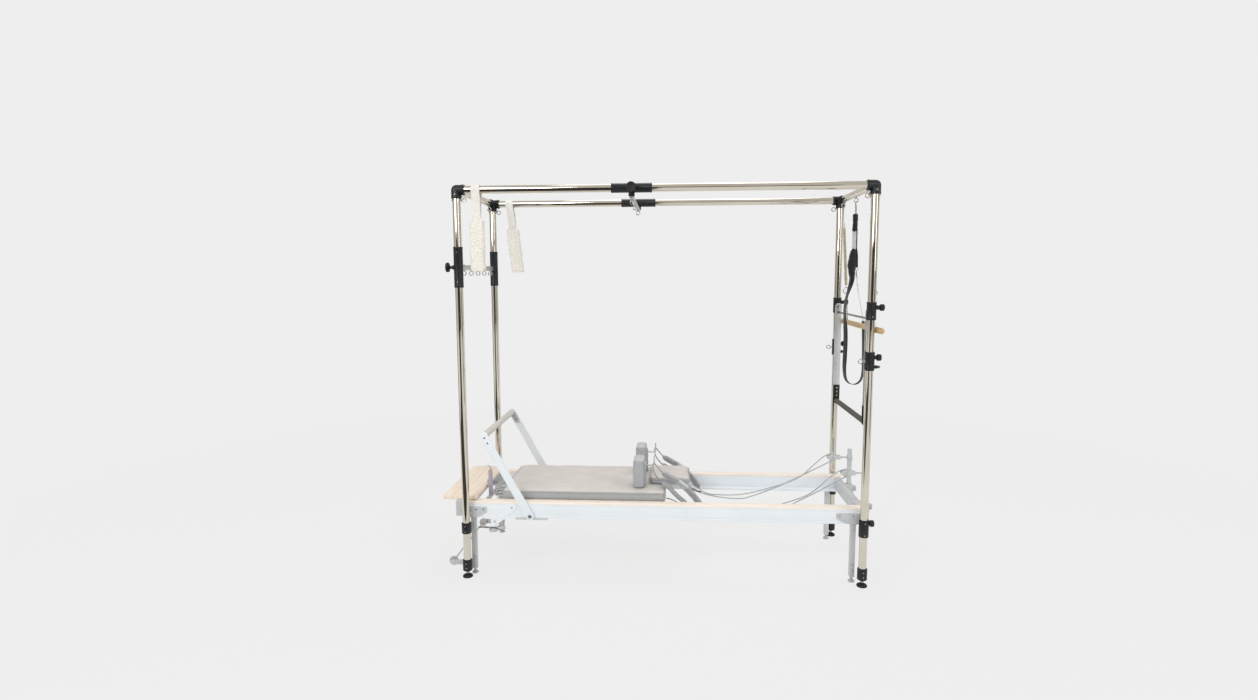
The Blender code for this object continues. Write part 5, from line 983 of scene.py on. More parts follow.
class FleeceLoops(bpy.types.Operator):
    """Make the two hanging loops: cotton webbing over each long rail, in a fleece sleeve"""
    bl_idname = "trapeze.fleece_loops"
    bl_label = "Fleece loops"

    def execute(self, context):
        for x, side, lean, name in ((-0.996, -1, 0.0, "front"),
                (-0.992, 1, math.radians(6), "rear")):
            y, body = side * HY, f"{name}_fleece"

            def leaning(points):
                points[:, 0] += (RAIL_Z - points[:, 2]) * math.tan(lean)
                return points

            clear = TUBE_R + 0.0022
            over = columns(x, *(arc(clear, *np.radians((-18, 198)), 30) + (y, RAIL_Z)).T)
            t = np.linspace(0, 1, 22)[1:] ** 0.8
            apart = 0.0062 + (clear * 0.95 - 0.0062) * (1 - t) ** 1.6
            down = [columns(x, y + s * apart, over[0, 2] + (1.99 - over[0, 2]) * t)
                for s in (1, -1)]
            path = np.concatenate((down[0][::-1], over, down[1]))
            tape = carried(rounded_rect(0.003, 0.046, 0.0012, 2), path, X)
            tape = tape.shaped(lambda p: p + columns(0.0012 * waves(p, 0.05, 3), 0, 0))
            put(f"{name}_loop_webbing", tape.shaped(leaning), "white_cotton_webbing", body)

            rise = np.concatenate(([0, 0.0008, 0.003, 0.007], np.linspace(0.0105, 0.2705, 120),
                [0.274, 0.278, 0.2802, 0.281]))
            share = rise / 0.281
            end = np.minimum(rise, 0.281 - rise)
            fall = np.clip(end / 0.018, 0, 1)
            size = 0.76 + 0.23 * np.sqrt(1 - (1 - fall) ** 2) + 0.01 * np.sin(5.0 * share + 1.0)
            ribs = 1 + 0.035 * fall * np.abs(np.sin(math.pi * rise / 0.0112)) ** 0.6
            outline = rounded_rect(0.08, 0.038, 0.0175, 14)
            rows = np.zeros((len(rise), len(outline), 3))
            rows[..., 0] = x + outline[None, :, 0] * (size * (0.985 + 0.015 * ribs))[:, None]
            rows[..., 1] = y + outline[None, :, 1] * (size * (ribs - 0.02))[:, None]
            rows[..., 2] = 1.734 + rise[:, None]
            fleece = loft(rows)

            def tufted(points):
                middle = np.array((x, y, 0))
                out = (points - middle) * (1, 1, 0)
                out /= np.linalg.norm(out, axis=1)[:, None] + 1e-9
                amount = 0.0011 * waves(points, 0.01, 5) + 0.0016 * waves(points, 0.045, 6)
                return points + out * amount[:, None]

            soft = put(f"{name}_fleece_sleeve", fleece.shaped(tufted).shaped(leaning),
                "wool_fleece", body, f"{name}_fleece_loop", sharp=80)
            stitch = [carried(rounded_rect(0.0016, 0.0016, 0.0007, 1),
                columns(x + np.linspace(-0.019, 0.019, 12), y + s * 0.0081, 2.035), Z)
                for s in (-1, 1)]
            put(f"{name}_loop_stitching", join(*stitch).shaped(leaning), "grey_cotton_webbing",
                body, slot="fleece")
        return {"FINISHED"}


def leaned(points):
    """Points of the hanging roll-down bar turned about its hooks, out to the posts' face."""
    points = np.atleast_2d(np.array(points, float))
    top = np.array((HX, 0, HOOK_Z))
    lean = math.atan2(DOWEL_X - HX, HOOK_Z - DOWEL_Z)
    turn = np.array(Matrix.Rotation(-lean, 3, "Y"))
    return top + (points - top) @ turn.T


class RollDownBar(bpy.types.Operator):
    """Make the roll-down bar: a wooden dowel with eyelets, links and two extension springs"""
    bl_idname = "trapeze.roll_down_bar"
    bl_label = "Roll-down bar and springs"

    def execute(self, context):
        eyes = []
        for side, name in SIDES:
            y = side * RAIL_EYES[2]
            hook = arc(0.006, *np.radians((-40, 215)), 22) + (y, HOOK_Z - 0.006)
            hook = columns(HX, *hook.T)
            lead = np.array([(HX, y - 0.0035, HOOK_Z - 0.017), (HX, y - 0.0005, HOOK_Z - 0.028),
                (HX, y, HOOK_Z - 0.045), (HX, y, HOOK_Z - 0.07), (HX, y, 2.01)])
            line = leaned(smooth_path(np.concatenate((hook[::3], lead)), 60))
            wire = carried(circle(0.0017, 8), line, X)
            top, low = leaned((HX, y, 2.006))[0], leaned((HX, y, 1.6375))[0]
            winding = coil(top, low, 0.0078, 0.0017, 0.0037, 0.009, 12, 6)
            ring = torus(leaned((HX, y, 2.008))[0], Y, 0.0062, 0.0018, 28, 8)
            spring = put(f"{name}_extension_spring", join(wire, winding, ring), "spring_wire",
                None, f"{name}_roll_spring")
            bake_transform(spring)
            foot = np.array((DOWEL_X, y, DOWEL_Z + DOWEL_R - 0.002))
            way = leaned((HX, y, 1.6332))[0] - foot
            long = np.linalg.norm(way)
            way /= long
            middle = long - 0.0215
            eyes += [rod(foot, foot + way * (middle - 0.0165), 0.0034, sides=16),
                drum(foot + (0, 0, 0.001), Z, 0.0075, 0, 0.0016, 24, 0.0005),
                torus(foot + way * middle, Y, 0.018, 0.0028, 48, 10),
                torus(foot + way * (middle - 0.0175), X, 0.0052, 0.0017, 28, 8)]
        put("roll_down_eyelets", join(*eyes), "chromed_hardware", "roll_bar")
        dowel = lathe([(0, -0.415), (0.01, -0.4145), (0.0138, -0.412), (DOWEL_R, -0.407),
            (DOWEL_R, 0.422), (0.0138, 0.427), (0.01, 0.4295), (0, 0.43)], (DOWEL_X, 0, DOWEL_Z),
            Y, 48)
        put("roll_down_dowel", dowel, "oiled_maple_dowel", "roll_bar", "roll_down_bar")
        return {"FINISHED"}


class SafetyStrap(bpy.types.Operator):
    """Make the safety strap: long link, padded sling, buckles, cord and the black loop"""
    bl_idname = "trapeze.safety_strap"
    bl_label = "Safety strap"

    def execute(self, context):
        x = HX - 0.002
        top = HOOK_Z + 0.0014
        arch = np.concatenate((arc(0.01, 0, math.pi, 15) + (0, top - 0.01),
            arc(-0.01, 0, math.pi, 15) + (0, GRIP_TOP)))
        link = carried(circle(0.0023, 10), columns(HX, *arch.T), X, ring=True)
        put("strap_long_link", link, "chromed_hardware", "strap")

        t = np.linspace(0, 1, 30)
        swell = 1 + 0.05 * np.sin(9 * t) + 0.03 * np.sin(23 * t)
        swell[[0, -1]] = 0.72
        swell[[1, -2]] = 0.93
        path = columns(x + 0.001 * np.sin(4 * t), 0, GRIP_TOP - 0.099 * t)
        grip = carried(rounded_rect(0.027, 0.025, 0.01, 4), path, Y, scale=swell)
        path = columns(x + 0.002, 0, np.linspace(1.966, 1.846, 20))
        under = carried(rounded_rect(0.033, 0.006, 0.002, 2), path, X, turn=np.full(20, TWIST))
        put("strap_grip_and_tape", join(grip, under), "black_nylon_webbing", "strap",
            "safety_strap")
        path = columns(x - 0.0015, 0, np.linspace(1.959, 1.852, 20))
        put("strap_pale_tape", carried(rounded_rect(0.03, 0.0035, 0.0014, 2), path, X,
            turn=np.full(20, TWIST)), "grey_cotton_webbing", "strap")

        z = np.linspace(SLING_TOP, SLING_LOW, 40)
        share = np.linspace(0, 1, 40)
        bulge = 0.01 + 0.017 * np.sin(math.pi * np.clip(share * 1.05, 0, 1)) ** 0.7
        centre = x - 0.004 - 0.008 * np.sin(math.pi * share) ** 0.8 + 0.001 * share
        ring = round_angles(48)
        rows = np.zeros((40, 48, 3))
        rows[..., 0] = centre[:, None] + bulge[:, None] * np.cos(ring) * 0.8
        rows[..., 1] = (0.014 + 0.007 * np.sin(math.pi * share) ** 0.5)[:, None] * np.sin(ring)
        rows[..., 2] = z[:, None]
        pad = loft(rows[::-1])
        pad = pad.shaped(lambda p: p + 0.0012 * columns(waves(p, 0.03, 11), waves(p, 0.03, 12), 0))
        tab = carried(rounded_rect(0.034, 0.008, 0.003, 3),
            smooth_path([(x + 0.009, 0, SLING_TOP), (x + 0.0145, 0, 1.82), (x + 0.0155, 0, 1.785),
            (x + 0.0165, 0, 1.752)], 24), X)
        tail = carried(rounded_rect(0.034, 0.007, 0.003, 3),
            smooth_path([(x - 0.014, 0, 1.7), (x - 0.0165, 0, 1.68), (x - 0.0185, 0, SLING_LOW)],
            12), X)
        pad_piece = put("strap_padded_sling", join(pad, tab, tail), "black_nylon_webbing", "strap",
            sharp=60)
        clip = join(torus((x + 0.0175, 0, 1.742), Y, 0.0078, 0.0018, 32, 8),
            torus((x + 0.016, 0, 1.723), X, 0.0078, 0.0018, 32, 8),
            rod((x + 0.016, 0, 1.716), (x + 0.0185, 0, 1.7), 0.0032),
            torus((x + 0.0195, 0, 1.694), Y, 0.0055, 0.0015, 28, 8))
        put("strap_clip_rings", clip, "chromed_hardware", "strap")
        stops = [(1.0965, 1.69), (1.091, 1.66), (1.078, 1.615), (1.066, 1.57), (1.06, 1.525),
            (1.06, 1.485), (1.064, 1.435), (1.068, 1.385), (1.07, 1.32), (1.069, 1.24),
            (1.068, 1.16), (1.076, 1.104), (1.095, 1.077), (1.12, 1.068), (1.145, 1.074),
            (1.165, 1.096), (1.174, 1.14), (1.1755, 1.2), (1.1745, 1.27), (1.1725, 1.34),
            (1.17, 1.4), (1.168, 1.44)]
        line = smooth_path(stops, 150)
        path = columns(line[:, 0], 0, line[:, 1])
        share = np.linspace(0, 1, 150)
        twist = np.interp(share, (0, 0.05, 0.09, 0.2, 0.28, 0.46, 0.54, 0.64, 0.78, 1.0),
            (-0.6, -0.4, -0.12, -0.12, -0.42, -0.42, -0.25, -0.05, 0.15, 0.22))
        band = carried(rounded_rect(0.0028, 0.036, 0.001, 2), path, Y, turn=twist)
        put("strap_black_loop", band, "black_nylon_webbing", "strap")
        line = smooth_path([(x + 0.0195, 0.0, 1.6885), (x + 0.025, 0.0, 1.65),
            (x + 0.033, 0.0, 1.6), (x + 0.045, 0.0, 1.54), (x + 0.056, 0.0, 1.49),
            (1.1675, 0.0, 1.444)], 40)
        beads = [lathe([(0, -0.007), (0.003, -0.006), (0.0042, 0), (0.003, 0.006), (0, 0.007)],
            line[k], line[k + 1] - line[k - 1], 16) for k in (6, 10)]
        put("strap_thin_cord", join(carried(circle(0.0019, 8), line, Y), *beads),
            "grey_cotton_webbing", "strap")
        plates = []
        for share in (0.1, 0.97):
            a, b = np.array((1.1755, 0, 1.2)), np.array((1.168, 0, 1.44))
            way = (b - a) / np.linalg.norm(b - a)
            out = np.cross(Y, way)
            middle = a + (b - a) * share
            for step in (-0.0085, 0.0, 0.0085):
                plates.append(carried(rounded_rect(0.003, 0.0028, 0.001, 2), middle + way * step
                    + out * 0.0012 + np.linspace(-0.021, 0.021, 8)[:, None] * Y, way))
            for y in (-0.0215, 0.0215):
                plates.append(rod(middle - way * 0.0095 + out * 0.0012 + y * Y,
                    middle + way * 0.0095 + out * 0.0012 + y * Y, 0.0016, sides=12))
        put("strap_slide_buckles", join(*plates), "chromed_hardware", "strap")
        return {"FINISHED"}


# ---- reformer bed

class BedRails(bpy.types.Operator):
    """Make the two side rails with their wood strips, end caps, legs, brackets and glides"""
    bl_idname = "trapeze.bed_rails"
    bl_label = "Bed rails and legs"

    def execute(self, context):
        outer, inner, low, top = RAIL_Y, RAIL_Y - RAIL_W, RAIL_LOW, RAIL_TOP - 0.01
        section = filleted([(outer, low), (outer, low + 0.012), (outer - 0.002, low + 0.0135),
            (outer - 0.002, low + 0.0165), (outer, low + 0.018), (outer, top - 0.014),
            (outer - 0.002, top - 0.0125), (outer - 0.002, top - 0.0095), (outer, top - 0.008),
            (outer, top), (inner, top), (inner, low + 0.0165), (inner - 0.002, low + 0.014),
            (inner - 0.036, low + 0.012), (inner - 0.038, low + 0.01), (inner - 0.038, low)],
            0.0009, 2, closed=True)
        first, last = RAIL_ENDS
        rail = plate(section, last - first - 0.006, (first + 0.003, 0, 0), Y, Z, 0.0005, 1)
        cap = [(outer - 0.0003, low + 0.0003), (outer - 0.0003, top), (inner + 0.0003, top),
            (inner + 0.0003, low + 0.0125), (inner - 0.0375, low + 0.0125),
            (inner - 0.0375, low + 0.0003)]
        caps = [plate(filleted(cap, 0.003, 3, closed=True), 0.0034, (x, 0, 0), Y, Z, 0.001)
            for x in (first, last - 0.0034)]
        strip = box((first + 0.002, inner + 0.002, top - 0.001),
            (last - 0.002, outer - 0.002, RAIL_TOP), 0.0022)
        legs, feet, screws = [], [], []
        for x in LEG_XS:
            legs.append(box((x - 0.014, LEG_Y - 0.014, 0.028),
                (x + 0.014, LEG_Y + 0.014, low + 0.001), 0.003))
            legs.append(box((x - 0.02, LEG_Y - 0.018, low - 0.005),
                (x + 0.02, LEG_Y + 0.018, low + 0.0005), 0.0015))
            feet.append(lathe([(0, 0.03), (0.006, 0.03), (0.006, 0.012), (0.014, 0.01),
                (0.018, 0.006), (0.018, 0.0012), (0.0165, 0), (0, 0)][::-1], (x, LEG_Y, 0), Z, 28))
            feet.append(hex_head((x, LEG_Y, 0.013), Z, 0.015, 0.005))
            screws += [screw((x, LEG_Y + 0.0138, z), Y, 0.004) for z in (0.07, 0.105, 0.3)]
        arm = plate(stadium((-1.205, 0.067), (-1.078, 0.067), 0.0148, 13), -0.006,
            (0, LEG_Y + 0.012, 0), X, Z, 0.001)
        for end in (1, -1):
            near, far = (0.965, 1.092) if end > 0 else (0.995, 1.092)
            z = low + 0.004
            sheet = [(end * u, v) for u, v in ((near, z + 0.028), (near + 0.05, z), (far, z),
                (far, z + 0.058), (near, z + 0.058))]
            legs.append(plate(filleted(sheet, 0.004, 3, closed=True), -0.005,
                (0, outer - 0.0009, 0), X, Z, 0.0012))
            stop = HY - (SLEEVE_R if end > 0 else TUBE_R) - 0.0004
            a, b = sorted((end * (far - 0.01), end * 1.118))
            legs.append(box((a, outer - 0.001, z + 0.008), (b, stop, z + 0.03), 0.002))
            screws += [screw((end * u, outer + 0.0038, z + v), Y, 0.0058, 0.0034) for u,
                v in ((near + 0.018, 0.043), (far - 0.038, 0.043))]
        for side, name in SIDES:
            put(f"bed_rail_extrusion_{name}", rail.sided(y=side), "white_baked_enamel", "frame",
                f"bed_rail_{name}")
            put(f"bed_rail_caps_{name}", join(*caps).sided(y=side), "grey_moulded_nylon", "frame")
            put(f"bed_rail_wood_{name}", strip.sided(y=side), "limed_birch_strip", "frame")
            put(f"bed_legs_{name}", join(*legs, arm).sided(y=side), "grey_coated_steel", "frame")
            put(f"bed_glides_{name}", join(*feet).sided(y=side), "grey_moulded_nylon", "frame")
            put(f"bed_leg_screws_{name}", join(*screws).sided(y=side), "zinc_plated_steel",
                "frame")
        return {"FINISHED"}


def wheel_pair(x, z, y, radius, width, hub=0.42):
    """Two wheels with tyres, dished faces and hubs on one axle; the outer faces of the
    pair are centred y from the middle."""
    half, pieces = width / 2, []
    for side in (-1, 1):
        line = [(0, -half), (radius * hub, -half), (radius * (hub + 0.05), -half + 0.0012),
            (radius * 0.78, -half + 0.0012), (radius * 0.84, -half), (radius - 0.002, -half),
            (radius, -half + 0.0022), (radius, half - 0.0022), (radius - 0.002, half),
            (radius * 0.84, half), (radius * 0.78, half - 0.0012),
            (radius * (hub + 0.05), half - 0.0012), (radius * hub, half), (0, half)]
        pieces.append(lathe(line, (x, side * y, z), Y, 48))
    reach = y + half + 0.0118
    axle = rod((x, -reach, z), (x, reach, z), 0.004)
    nuts = [hex_head((x, side * (reach - 0.0048), z), side * Y, 0.0115, 0.0046)
        for side in (-1, 1)]
    return join(*pieces), join(axle, *nuts)


class BedEnds(bpy.types.Operator):
    """Make the end beams, standing platform, risers, pulleys, spring bar and transport wheels"""
    bl_idname = "trapeze.bed_ends"
    bl_label = "Bed ends and pulleys"

    def execute(self, context):
        put("foot_end_beam", box((-1.1748, -0.3348, 0.3452), (-1.1304, 0.3348, 0.4335), 0.003),
            "grey_coated_steel", "frame", "foot_beam")
        tyres, axle = wheel_pair(-1.205, 0.067, 0.307, 0.025, 0.016)
        put("transport_wheel_pair", tyres, "grey_moulded_nylon", "transport_wheel_pair",
            "transport_wheels")
        put("transport_wheel_axle", axle, "zinc_plated_steel", "transport_wheel_pair")
        board = plate(rounded_rect(0.2, 0.62, 0.018, 8), 0.02, (PLATFORM_X, 0, 0.434), X, Y,
            0.0035, 4)
        put("standing_platform_board", board, "limed_birch_board", "frame", "standing_platform")
        put("platform_screws",
            join(*[screw((PLATFORM_X + u, v, 0.4535), Z, 0.0042, 0.0014) for u in (-0.045, 0.045)
            for v in (-0.27, 0.27)]), "zinc_plated_steel", "frame")

        x = SPRING_BAR_X
        cross = box((x - 0.007, -BEAM_HALF, SPRING_Z - 0.012),
            (x + 0.007, BEAM_HALF, SPRING_Z + 0.012), 0.002)
        put("spring_cross_bar", cross, "grey_coated_steel", "frame", "spring_bar",
            slot="bed_metal")
        handle = join(box((x - 0.01, -0.1, SPRING_Z), (x + 0.01, -0.072, 0.545), 0.004),
            lathe([(0, 0), (0.01, 0), (0.012, 0.003), (0.012, 0.009), (0.009, 0.012), (0, 0.012)],
            (x - 0.008, HANDLE_Y, 0.474), -X, 28))
        put("spring_bar_handle", handle, "violet_grey_handle", "frame")
        hook = smooth_path([(x, HANDLE_Y, 0.54), (x, HANDLE_Y, 0.556),
            (x - 0.0015, HANDLE_Y, 0.566), (x - 0.008, HANDLE_Y, 0.5703),
            (x - 0.018, HANDLE_Y, 0.5706), (x - 0.0295, HANDLE_Y, 0.5696)], 30)
        studs = [lathe([(0, 0), (0.0045, 0), (0.0045, 0.006), (0.003, 0.007), (0.003, 0.01),
            (0, 0.01)], (x + 0.0066, y, SPRING_Z), X, 20) for y in (-0.186, -0.124, 0.124, 0.186)]
        put("spring_bar_hook", join(carried(circle(0.0032, 12), hook, Y), *studs),
            "zinc_plated_steel", "frame")

        beam = box((1.095, -BEAM_HALF, 0.3525), (1.135, BEAM_HALF, 0.42), 0.003)
        clamps, knobs, posts, bright = [], [], [], []
        px, pz = PULLEY
        for side, name in SIDES:
            y = side * RISER_Y
            posts.append(box((RISER_X - 0.0115, y - 0.0115, 0.29),
                (RISER_X + 0.0115, y + 0.0115, 0.635), 0.0025))
            clamps.append(box((1.132, y - 0.028, 0.36), (1.1835, y + 0.028, 0.412), 0.004))
            clamps.append(box((RISER_X - 0.015, y - 0.015, 0.566),
                (RISER_X + 0.015, y + 0.015, 0.598), 0.003))
            knobs.append(fluted_knob((1.1825, y, 0.386), X, 0.018, 0.02))
            cheek = stadium((px - 0.0215, pz), (px + 0.0405, pz), 0.013, 13)
            clamps += [plate(cheek, -0.002, (0, y + face, 0), X, Z, 0.0006, 2)
                for face in (-0.0092, 0.0072)]
            clamps.append(box((px + 0.04, y - 0.0088, pz - 0.008),
                (px + 0.052, y + 0.0088, pz + 0.008), 0.0015))
            bright += [rod((px + 0.046, y, pz), (RISER_X - 0.01, y, pz), 0.0042, sides=20),
                rod((px, y - 0.009, pz), (px, y + 0.009, pz), 0.004, sides=20),
                hex_head((px, y - 0.009, pz), -Y, 0.01, 0.003), hex_head((px, y + 0.009, pz), Y,
                0.01, 0.003), screw((RISER_X, y - 0.0148, 0.582), -Y, 0.0042),
                screw((RISER_X, y + 0.0148, 0.582), Y, 0.0042)]
            rim = [(0.0046, -0.006), (0.023, -0.006), (0.025, -0.0048), (0.0195, -0.002),
                (0.0188, 0), (0.0195, 0.002), (0.025, 0.0048), (0.023, 0.006), (0.0046, 0.006)]
            put(f"{name}_rope_pulley", lathe(rim, (px, y, pz), Y, 48), "grey_moulded_nylon",
                f"{name}_sheave", f"{name}_pulley")
        put("head_end_beam", join(beam, *posts, *clamps), "grey_coated_steel", "frame",
            "head_beam")
        put("riser_clamp_knobs", join(*knobs), "grey_moulded_nylon", "frame")
        put("pulley_stems_and_bolts", join(*bright), "zinc_plated_steel", "frame")
        return {"FINISHED"}


# ---- pads

def pad_shape(low, high, corner, crown, bulge, seam, around):
    """A firm pad: rows of one rounded outline, each moved in by its inset, climb the side
    with a swell of bulge sin(pi s) and a dip at the seam, and close over the top, which
    crowns by crown (1 - u^4) (1 - v^4). Gives the shape and the line of its seam."""
    low, high = floats(low, high)
    middle, half = (low + high) / 2, (high - low) / 2
    tall, reach = high[2] - low[2], min(half[0], half[1])
    line = rounded_rect(2 * half[0], 2 * half[1], corner, 12)
    outline = evenly(np.concatenate((line, line[:1])), around, closed=True)
    t = np.linspace(0, 1, 12)
    s = np.linspace(0.06, seam - 0.03, 14)
    inset = np.concatenate(([0.96 * reach, 0.5 * reach, 0.016, 0.007, 0.002],
        -bulge * np.sin(math.pi * (s - 0.06) / (seam - 0.09)) + 0.0006,
        [0.0022, 0.0012, 0.0016, 0.0045], 0.01 + (0.96 * reach - 0.01) * t ** 1.7))
    rise = np.concatenate(([0, 0, 0, 0.004, 0.025], s, [seam, seam + 0.035, seam + 0.065, 0.992],
        np.ones(12)))
    flat = outline[None] * (1 - inset[:, None, None] / half[:2])
    rows = np.zeros((len(inset), around, 3))
    rows[..., :2] = middle[:2] + flat
    u, v = flat[..., 0] / half[0], flat[..., 1] / half[1]
    over = np.clip((rise - 0.94) / 0.06, 0, 1)[:, None]
    rows[..., 2] = low[2] + rise[:, None] * tall + crown * over * (1 - u ** 4) * (1 - v ** 4)
    rows[..., 2] += 0.0006 * over * waves(rows, 0.14, 21)
    edge = middle[:2] + outline * (1 - 0.0008 / half[:2])
    seam_line = np.concatenate((edge, np.full((around, 1), low[2] + seam * tall)), axis=1)
    return loft(rows), seam_line


FILL_FRAMES = 20


def puff(piece, cap, voxel):
    """Fill a pad by cloth pressure: a remeshed copy swells for FILL_FRAMES frames without gravity,
    each point may move at most cap, and the result becomes the piece's own mesh."""
    scene = bpy.context.scene
    remesh = piece.modifiers.new("Voxels", "REMESH")
    remesh.mode, remesh.voxel_size, remesh.use_smooth_shade = "VOXEL", voxel, True
    settle(piece)
    start = read_points(piece.data)
    cloth = piece.modifiers.new("Filling", "CLOTH")
    cloth.settings.use_pressure = True
    cloth.settings.uniform_pressure_force = 4.0
    cloth.settings.quality = 5
    cloth.settings.tension_stiffness = cloth.settings.compression_stiffness = 40
    cloth.settings.bending_stiffness = 8
    cloth.settings.effector_weights.gravity = 0
    cloth.point_cache.frame_start, cloth.point_cache.frame_end = 1, FILL_FRAMES
    for moment in range(1, FILL_FRAMES + 1):
        scene.frame_set(moment)
    settle(piece)
    scene.frame_set(1)
    end = read_points(piece.data)
    step = end - start
    size = np.linalg.norm(step, axis=1)[:, None] + 1e-12
    end = start + step / size * np.minimum(size, cap)
    low, high = start.min(axis=0), start.max(axis=0)
    end = np.clip(end, low - (0.002, 0.002, 0.0), high + (0.002, 0.002, 0.004))
    piece.data.vertices.foreach_set("co", end.astype(np.float32).ravel())
    piece.data.update()
    piece.data.shade_smooth()


def read_points(mesh):
    """The points of a mesh as an array."""
    points = np.zeros(len(mesh.vertices) * 3, np.float32)
    mesh.vertices.foreach_get("co", points)
    return points.reshape(-1, 3).astype(float)


def settle(piece):
    """Turn a piece's modifiers into its own mesh."""
    graph = bpy.context.evaluated_depsgraph_get()
    finish = piece.data.materials[0]
    mesh = bpy.data.meshes.new_from_object(piece.evaluated_get(graph), depsgraph=graph)
    piece.modifiers.clear()
    piece.data = mesh
    if not mesh.materials:
        mesh.materials.append(finish)


def cushion(names, low, high, form, around, filling, radius, finish="pad_vinyl", body="carriage"):
    """Put a pad that cloth pressure fills, and the piping along its seam. names are those of
    the cover, the piping and the solid that it stands for. form is the corner, crown, bulge
    and seam of pad_shape, and filling is the cap and voxel of puff and a share of fill, which
    is not used."""
    cover, cord, solid = names
    corner, crown, bulge, seam = form
    cap, voxel, fill = filling
    shape, line = pad_shape(low, high, corner, crown, bulge, seam, around)
    pad = put(cover, shape, finish, body, solid, sharp=60)
    puff(pad, cap, voxel)
    put(cord, carried(circle(radius, 8), line, Z, ring=True), "piping_cord", body)


class Carriage(bpy.types.Operator):
    """Make the carriage: board, upholstered pad, shoulder rests, headrest and wheels"""
    bl_idname = "trapeze.carriage"
    bl_label = "Carriage and pads"

    def execute(self, context):
        first, last = CARRIAGE
        sizes = context.scene.trapeze_sizes
        board = box((first + 0.0042, -CARRIAGE_Y + 0.0002, BOARD_LOW),
            (last - 0.0002, CARRIAGE_Y - 0.0002, BOARD_TOP), 0.003)
        put("carriage_board", board, "limed_birch_board", "carriage", "carriage_frame")
        edge = RAIL_Y - RAIL_W - 0.038
        hangers = [box((-0.7998, -0.125, SPRING_Z - 0.012), (-0.788, 0.125, BOARD_LOW + 0.001),
            0.0015)]
        hangers += [box((x - 0.014, side * edge - 0.0029, WHEEL_Z - 0.009),
            (x + 0.014, side * edge + 0.0029, BOARD_LOW + 0.001), 0.0012) for x,
            _ in WHEELS for side in (-1, 1)]
        put("carriage_wheel_hangers", join(*hangers), "zinc_plated_steel", "carriage")
        for x, name in WHEELS:
            tyres, axle = wheel_pair(x, WHEEL_Z, edge + 0.0115, WHEEL_R, 0.016)
            put(f"{name}_carriage_wheels", tyres, "grey_moulded_nylon", f"{name}_wheels",
                f"{name}_wheel_set")
            put(f"{name}_carriage_axle", axle, "zinc_plated_steel", f"{name}_wheels")

        low = BOARD_TOP + 0.0004
        cushion(("carriage_pad_cover", "carriage_pad_piping", "carriage_pad"),
            (first + 0.001, -CARRIAGE_Y + 0.001, low), (last - 0.001, CARRIAGE_Y - 0.001,
            low + 0.0515), (0.026, sizes.crown, 0.0012, 0.88), 320, (0.006, 0.005, 0.95),
            sizes.piping)

        low = BOARD_TOP + 0.0622
        for side, name in SIDES:
            near, far = sorted((side * 0.091, side * 0.219))
            cushion([f"{name}_shoulder_{part}" for part in ("pad", "piping", "rest")],
                (-0.165, near, low), (-0.101, far, 0.651), (0.019, 0.0045, 0.0015, 0.9), 120,
                (0.005, 0.004, 0.9), 0.0016, "pad_side_vinyl")
            y = side * 0.15
            a, b = sorted((side * 0.14, side * 0.17))
            upright = box((-0.104, a, BOARD_TOP + 0.001), (-0.092, b, 0.625), 0.002)
            arm = smooth_path([(-0.094, y, 0.606), (-0.08, y, 0.606), (-0.06, y, 0.606),
                (-0.049, y, 0.6068), (-0.0452, y, 0.612), (-0.045, y, 0.63), (-0.045, y, 0.6645)],
                30)
            hook = smooth_path([(-0.045, side * 0.149, 0.617), (-0.045, side * 0.17, 0.617),
                (-0.045, side * 0.188, 0.617), (-0.045, side * 0.1945, 0.6185)], 16)
            put(f"{name}_shoulder_post", join(upright, carried(circle(0.0042, 12), arm, Y),
                carried(circle(0.0046, 12), hook, X), screw((-0.092, y, 0.585), X, 0.0045),
                screw((-0.092, y, 0.545), X, 0.0045)), "grey_coated_steel", "carriage",
                slot="bed_metal")
        low = BOARD_TOP + 0.0623
        cushion(("headrest_cushion", "headrest_piping", "headrest"), (-0.074, -0.134, low),
            (0.164, 0.134, low + 0.0352), (0.03, 0.0045, 0.0015, 0.8), 200, (0.006, 0.004, 0.85),
            0.0017, body="headrest_pad")
        return {"FINISHED"}


# ---- springs and ropes

def rope_route(side):
    """The line of a rope: from its hand loop to the pulley, round it and back."""
    upper = np.array([(0.2435, 0.1745, 0.35), (0.319, 0.17, 0.33), (0.488, 0.163, 0.335),
        (0.64, 0.16, 0.372), (0.798, 0.16, 0.425), (0.871, 0.162, 0.466), (0.955, 0.166, 0.545),
        (1.005, 0.17, 0.587)])
    lower = np.array([(1.036, 0.17, 0.55), (0.969, 0.174, 0.513), (0.896, 0.178, 0.473),
        (0.786, 0.181, 0.415), (0.725, 0.182, 0.384), (0.57, 0.181, 0.322), (0.476, 0.18, 0.302),
        (0.312, 0.178, 0.319), (0.15, 0.174, 0.368), (0.06, 0.171, 0.406), (0.024, 0.17, 0.416)])
    turn = (arc(0.0235, *np.radians((112, -74)), 9) + PULLEY).T
    turn = columns(turn[0], RISER_Y, turn[1])
    route = smooth_path(np.concatenate((upper, turn, lower)), 240)
    return route * (1, side, 1)


# Closed line of a hand loop (x, |y|, z): from the peg down to the rope, and back under it
LOOP = [(-0.0445, 0.178, 0.624), (-0.033, 0.178, 0.613), (-0.01, 0.178, 0.585),
    (0.018, 0.178, 0.56), (0.052, 0.178, 0.54), (0.095, 0.178, 0.515), (0.14, 0.178, 0.48),
    (0.182, 0.177, 0.436), (0.215, 0.176, 0.393), (0.2405, 0.175, 0.3535), (0.236, 0.1775, 0.345),
    (0.21, 0.18, 0.352), (0.165, 0.182, 0.376), (0.115, 0.184, 0.412), (0.072, 0.185, 0.452),
    (0.035, 0.186, 0.492), (-0.01, 0.186, 0.524), (-0.04, 0.184, 0.562), (-0.052, 0.18, 0.6),
    (-0.052, 0.178, 0.619)]


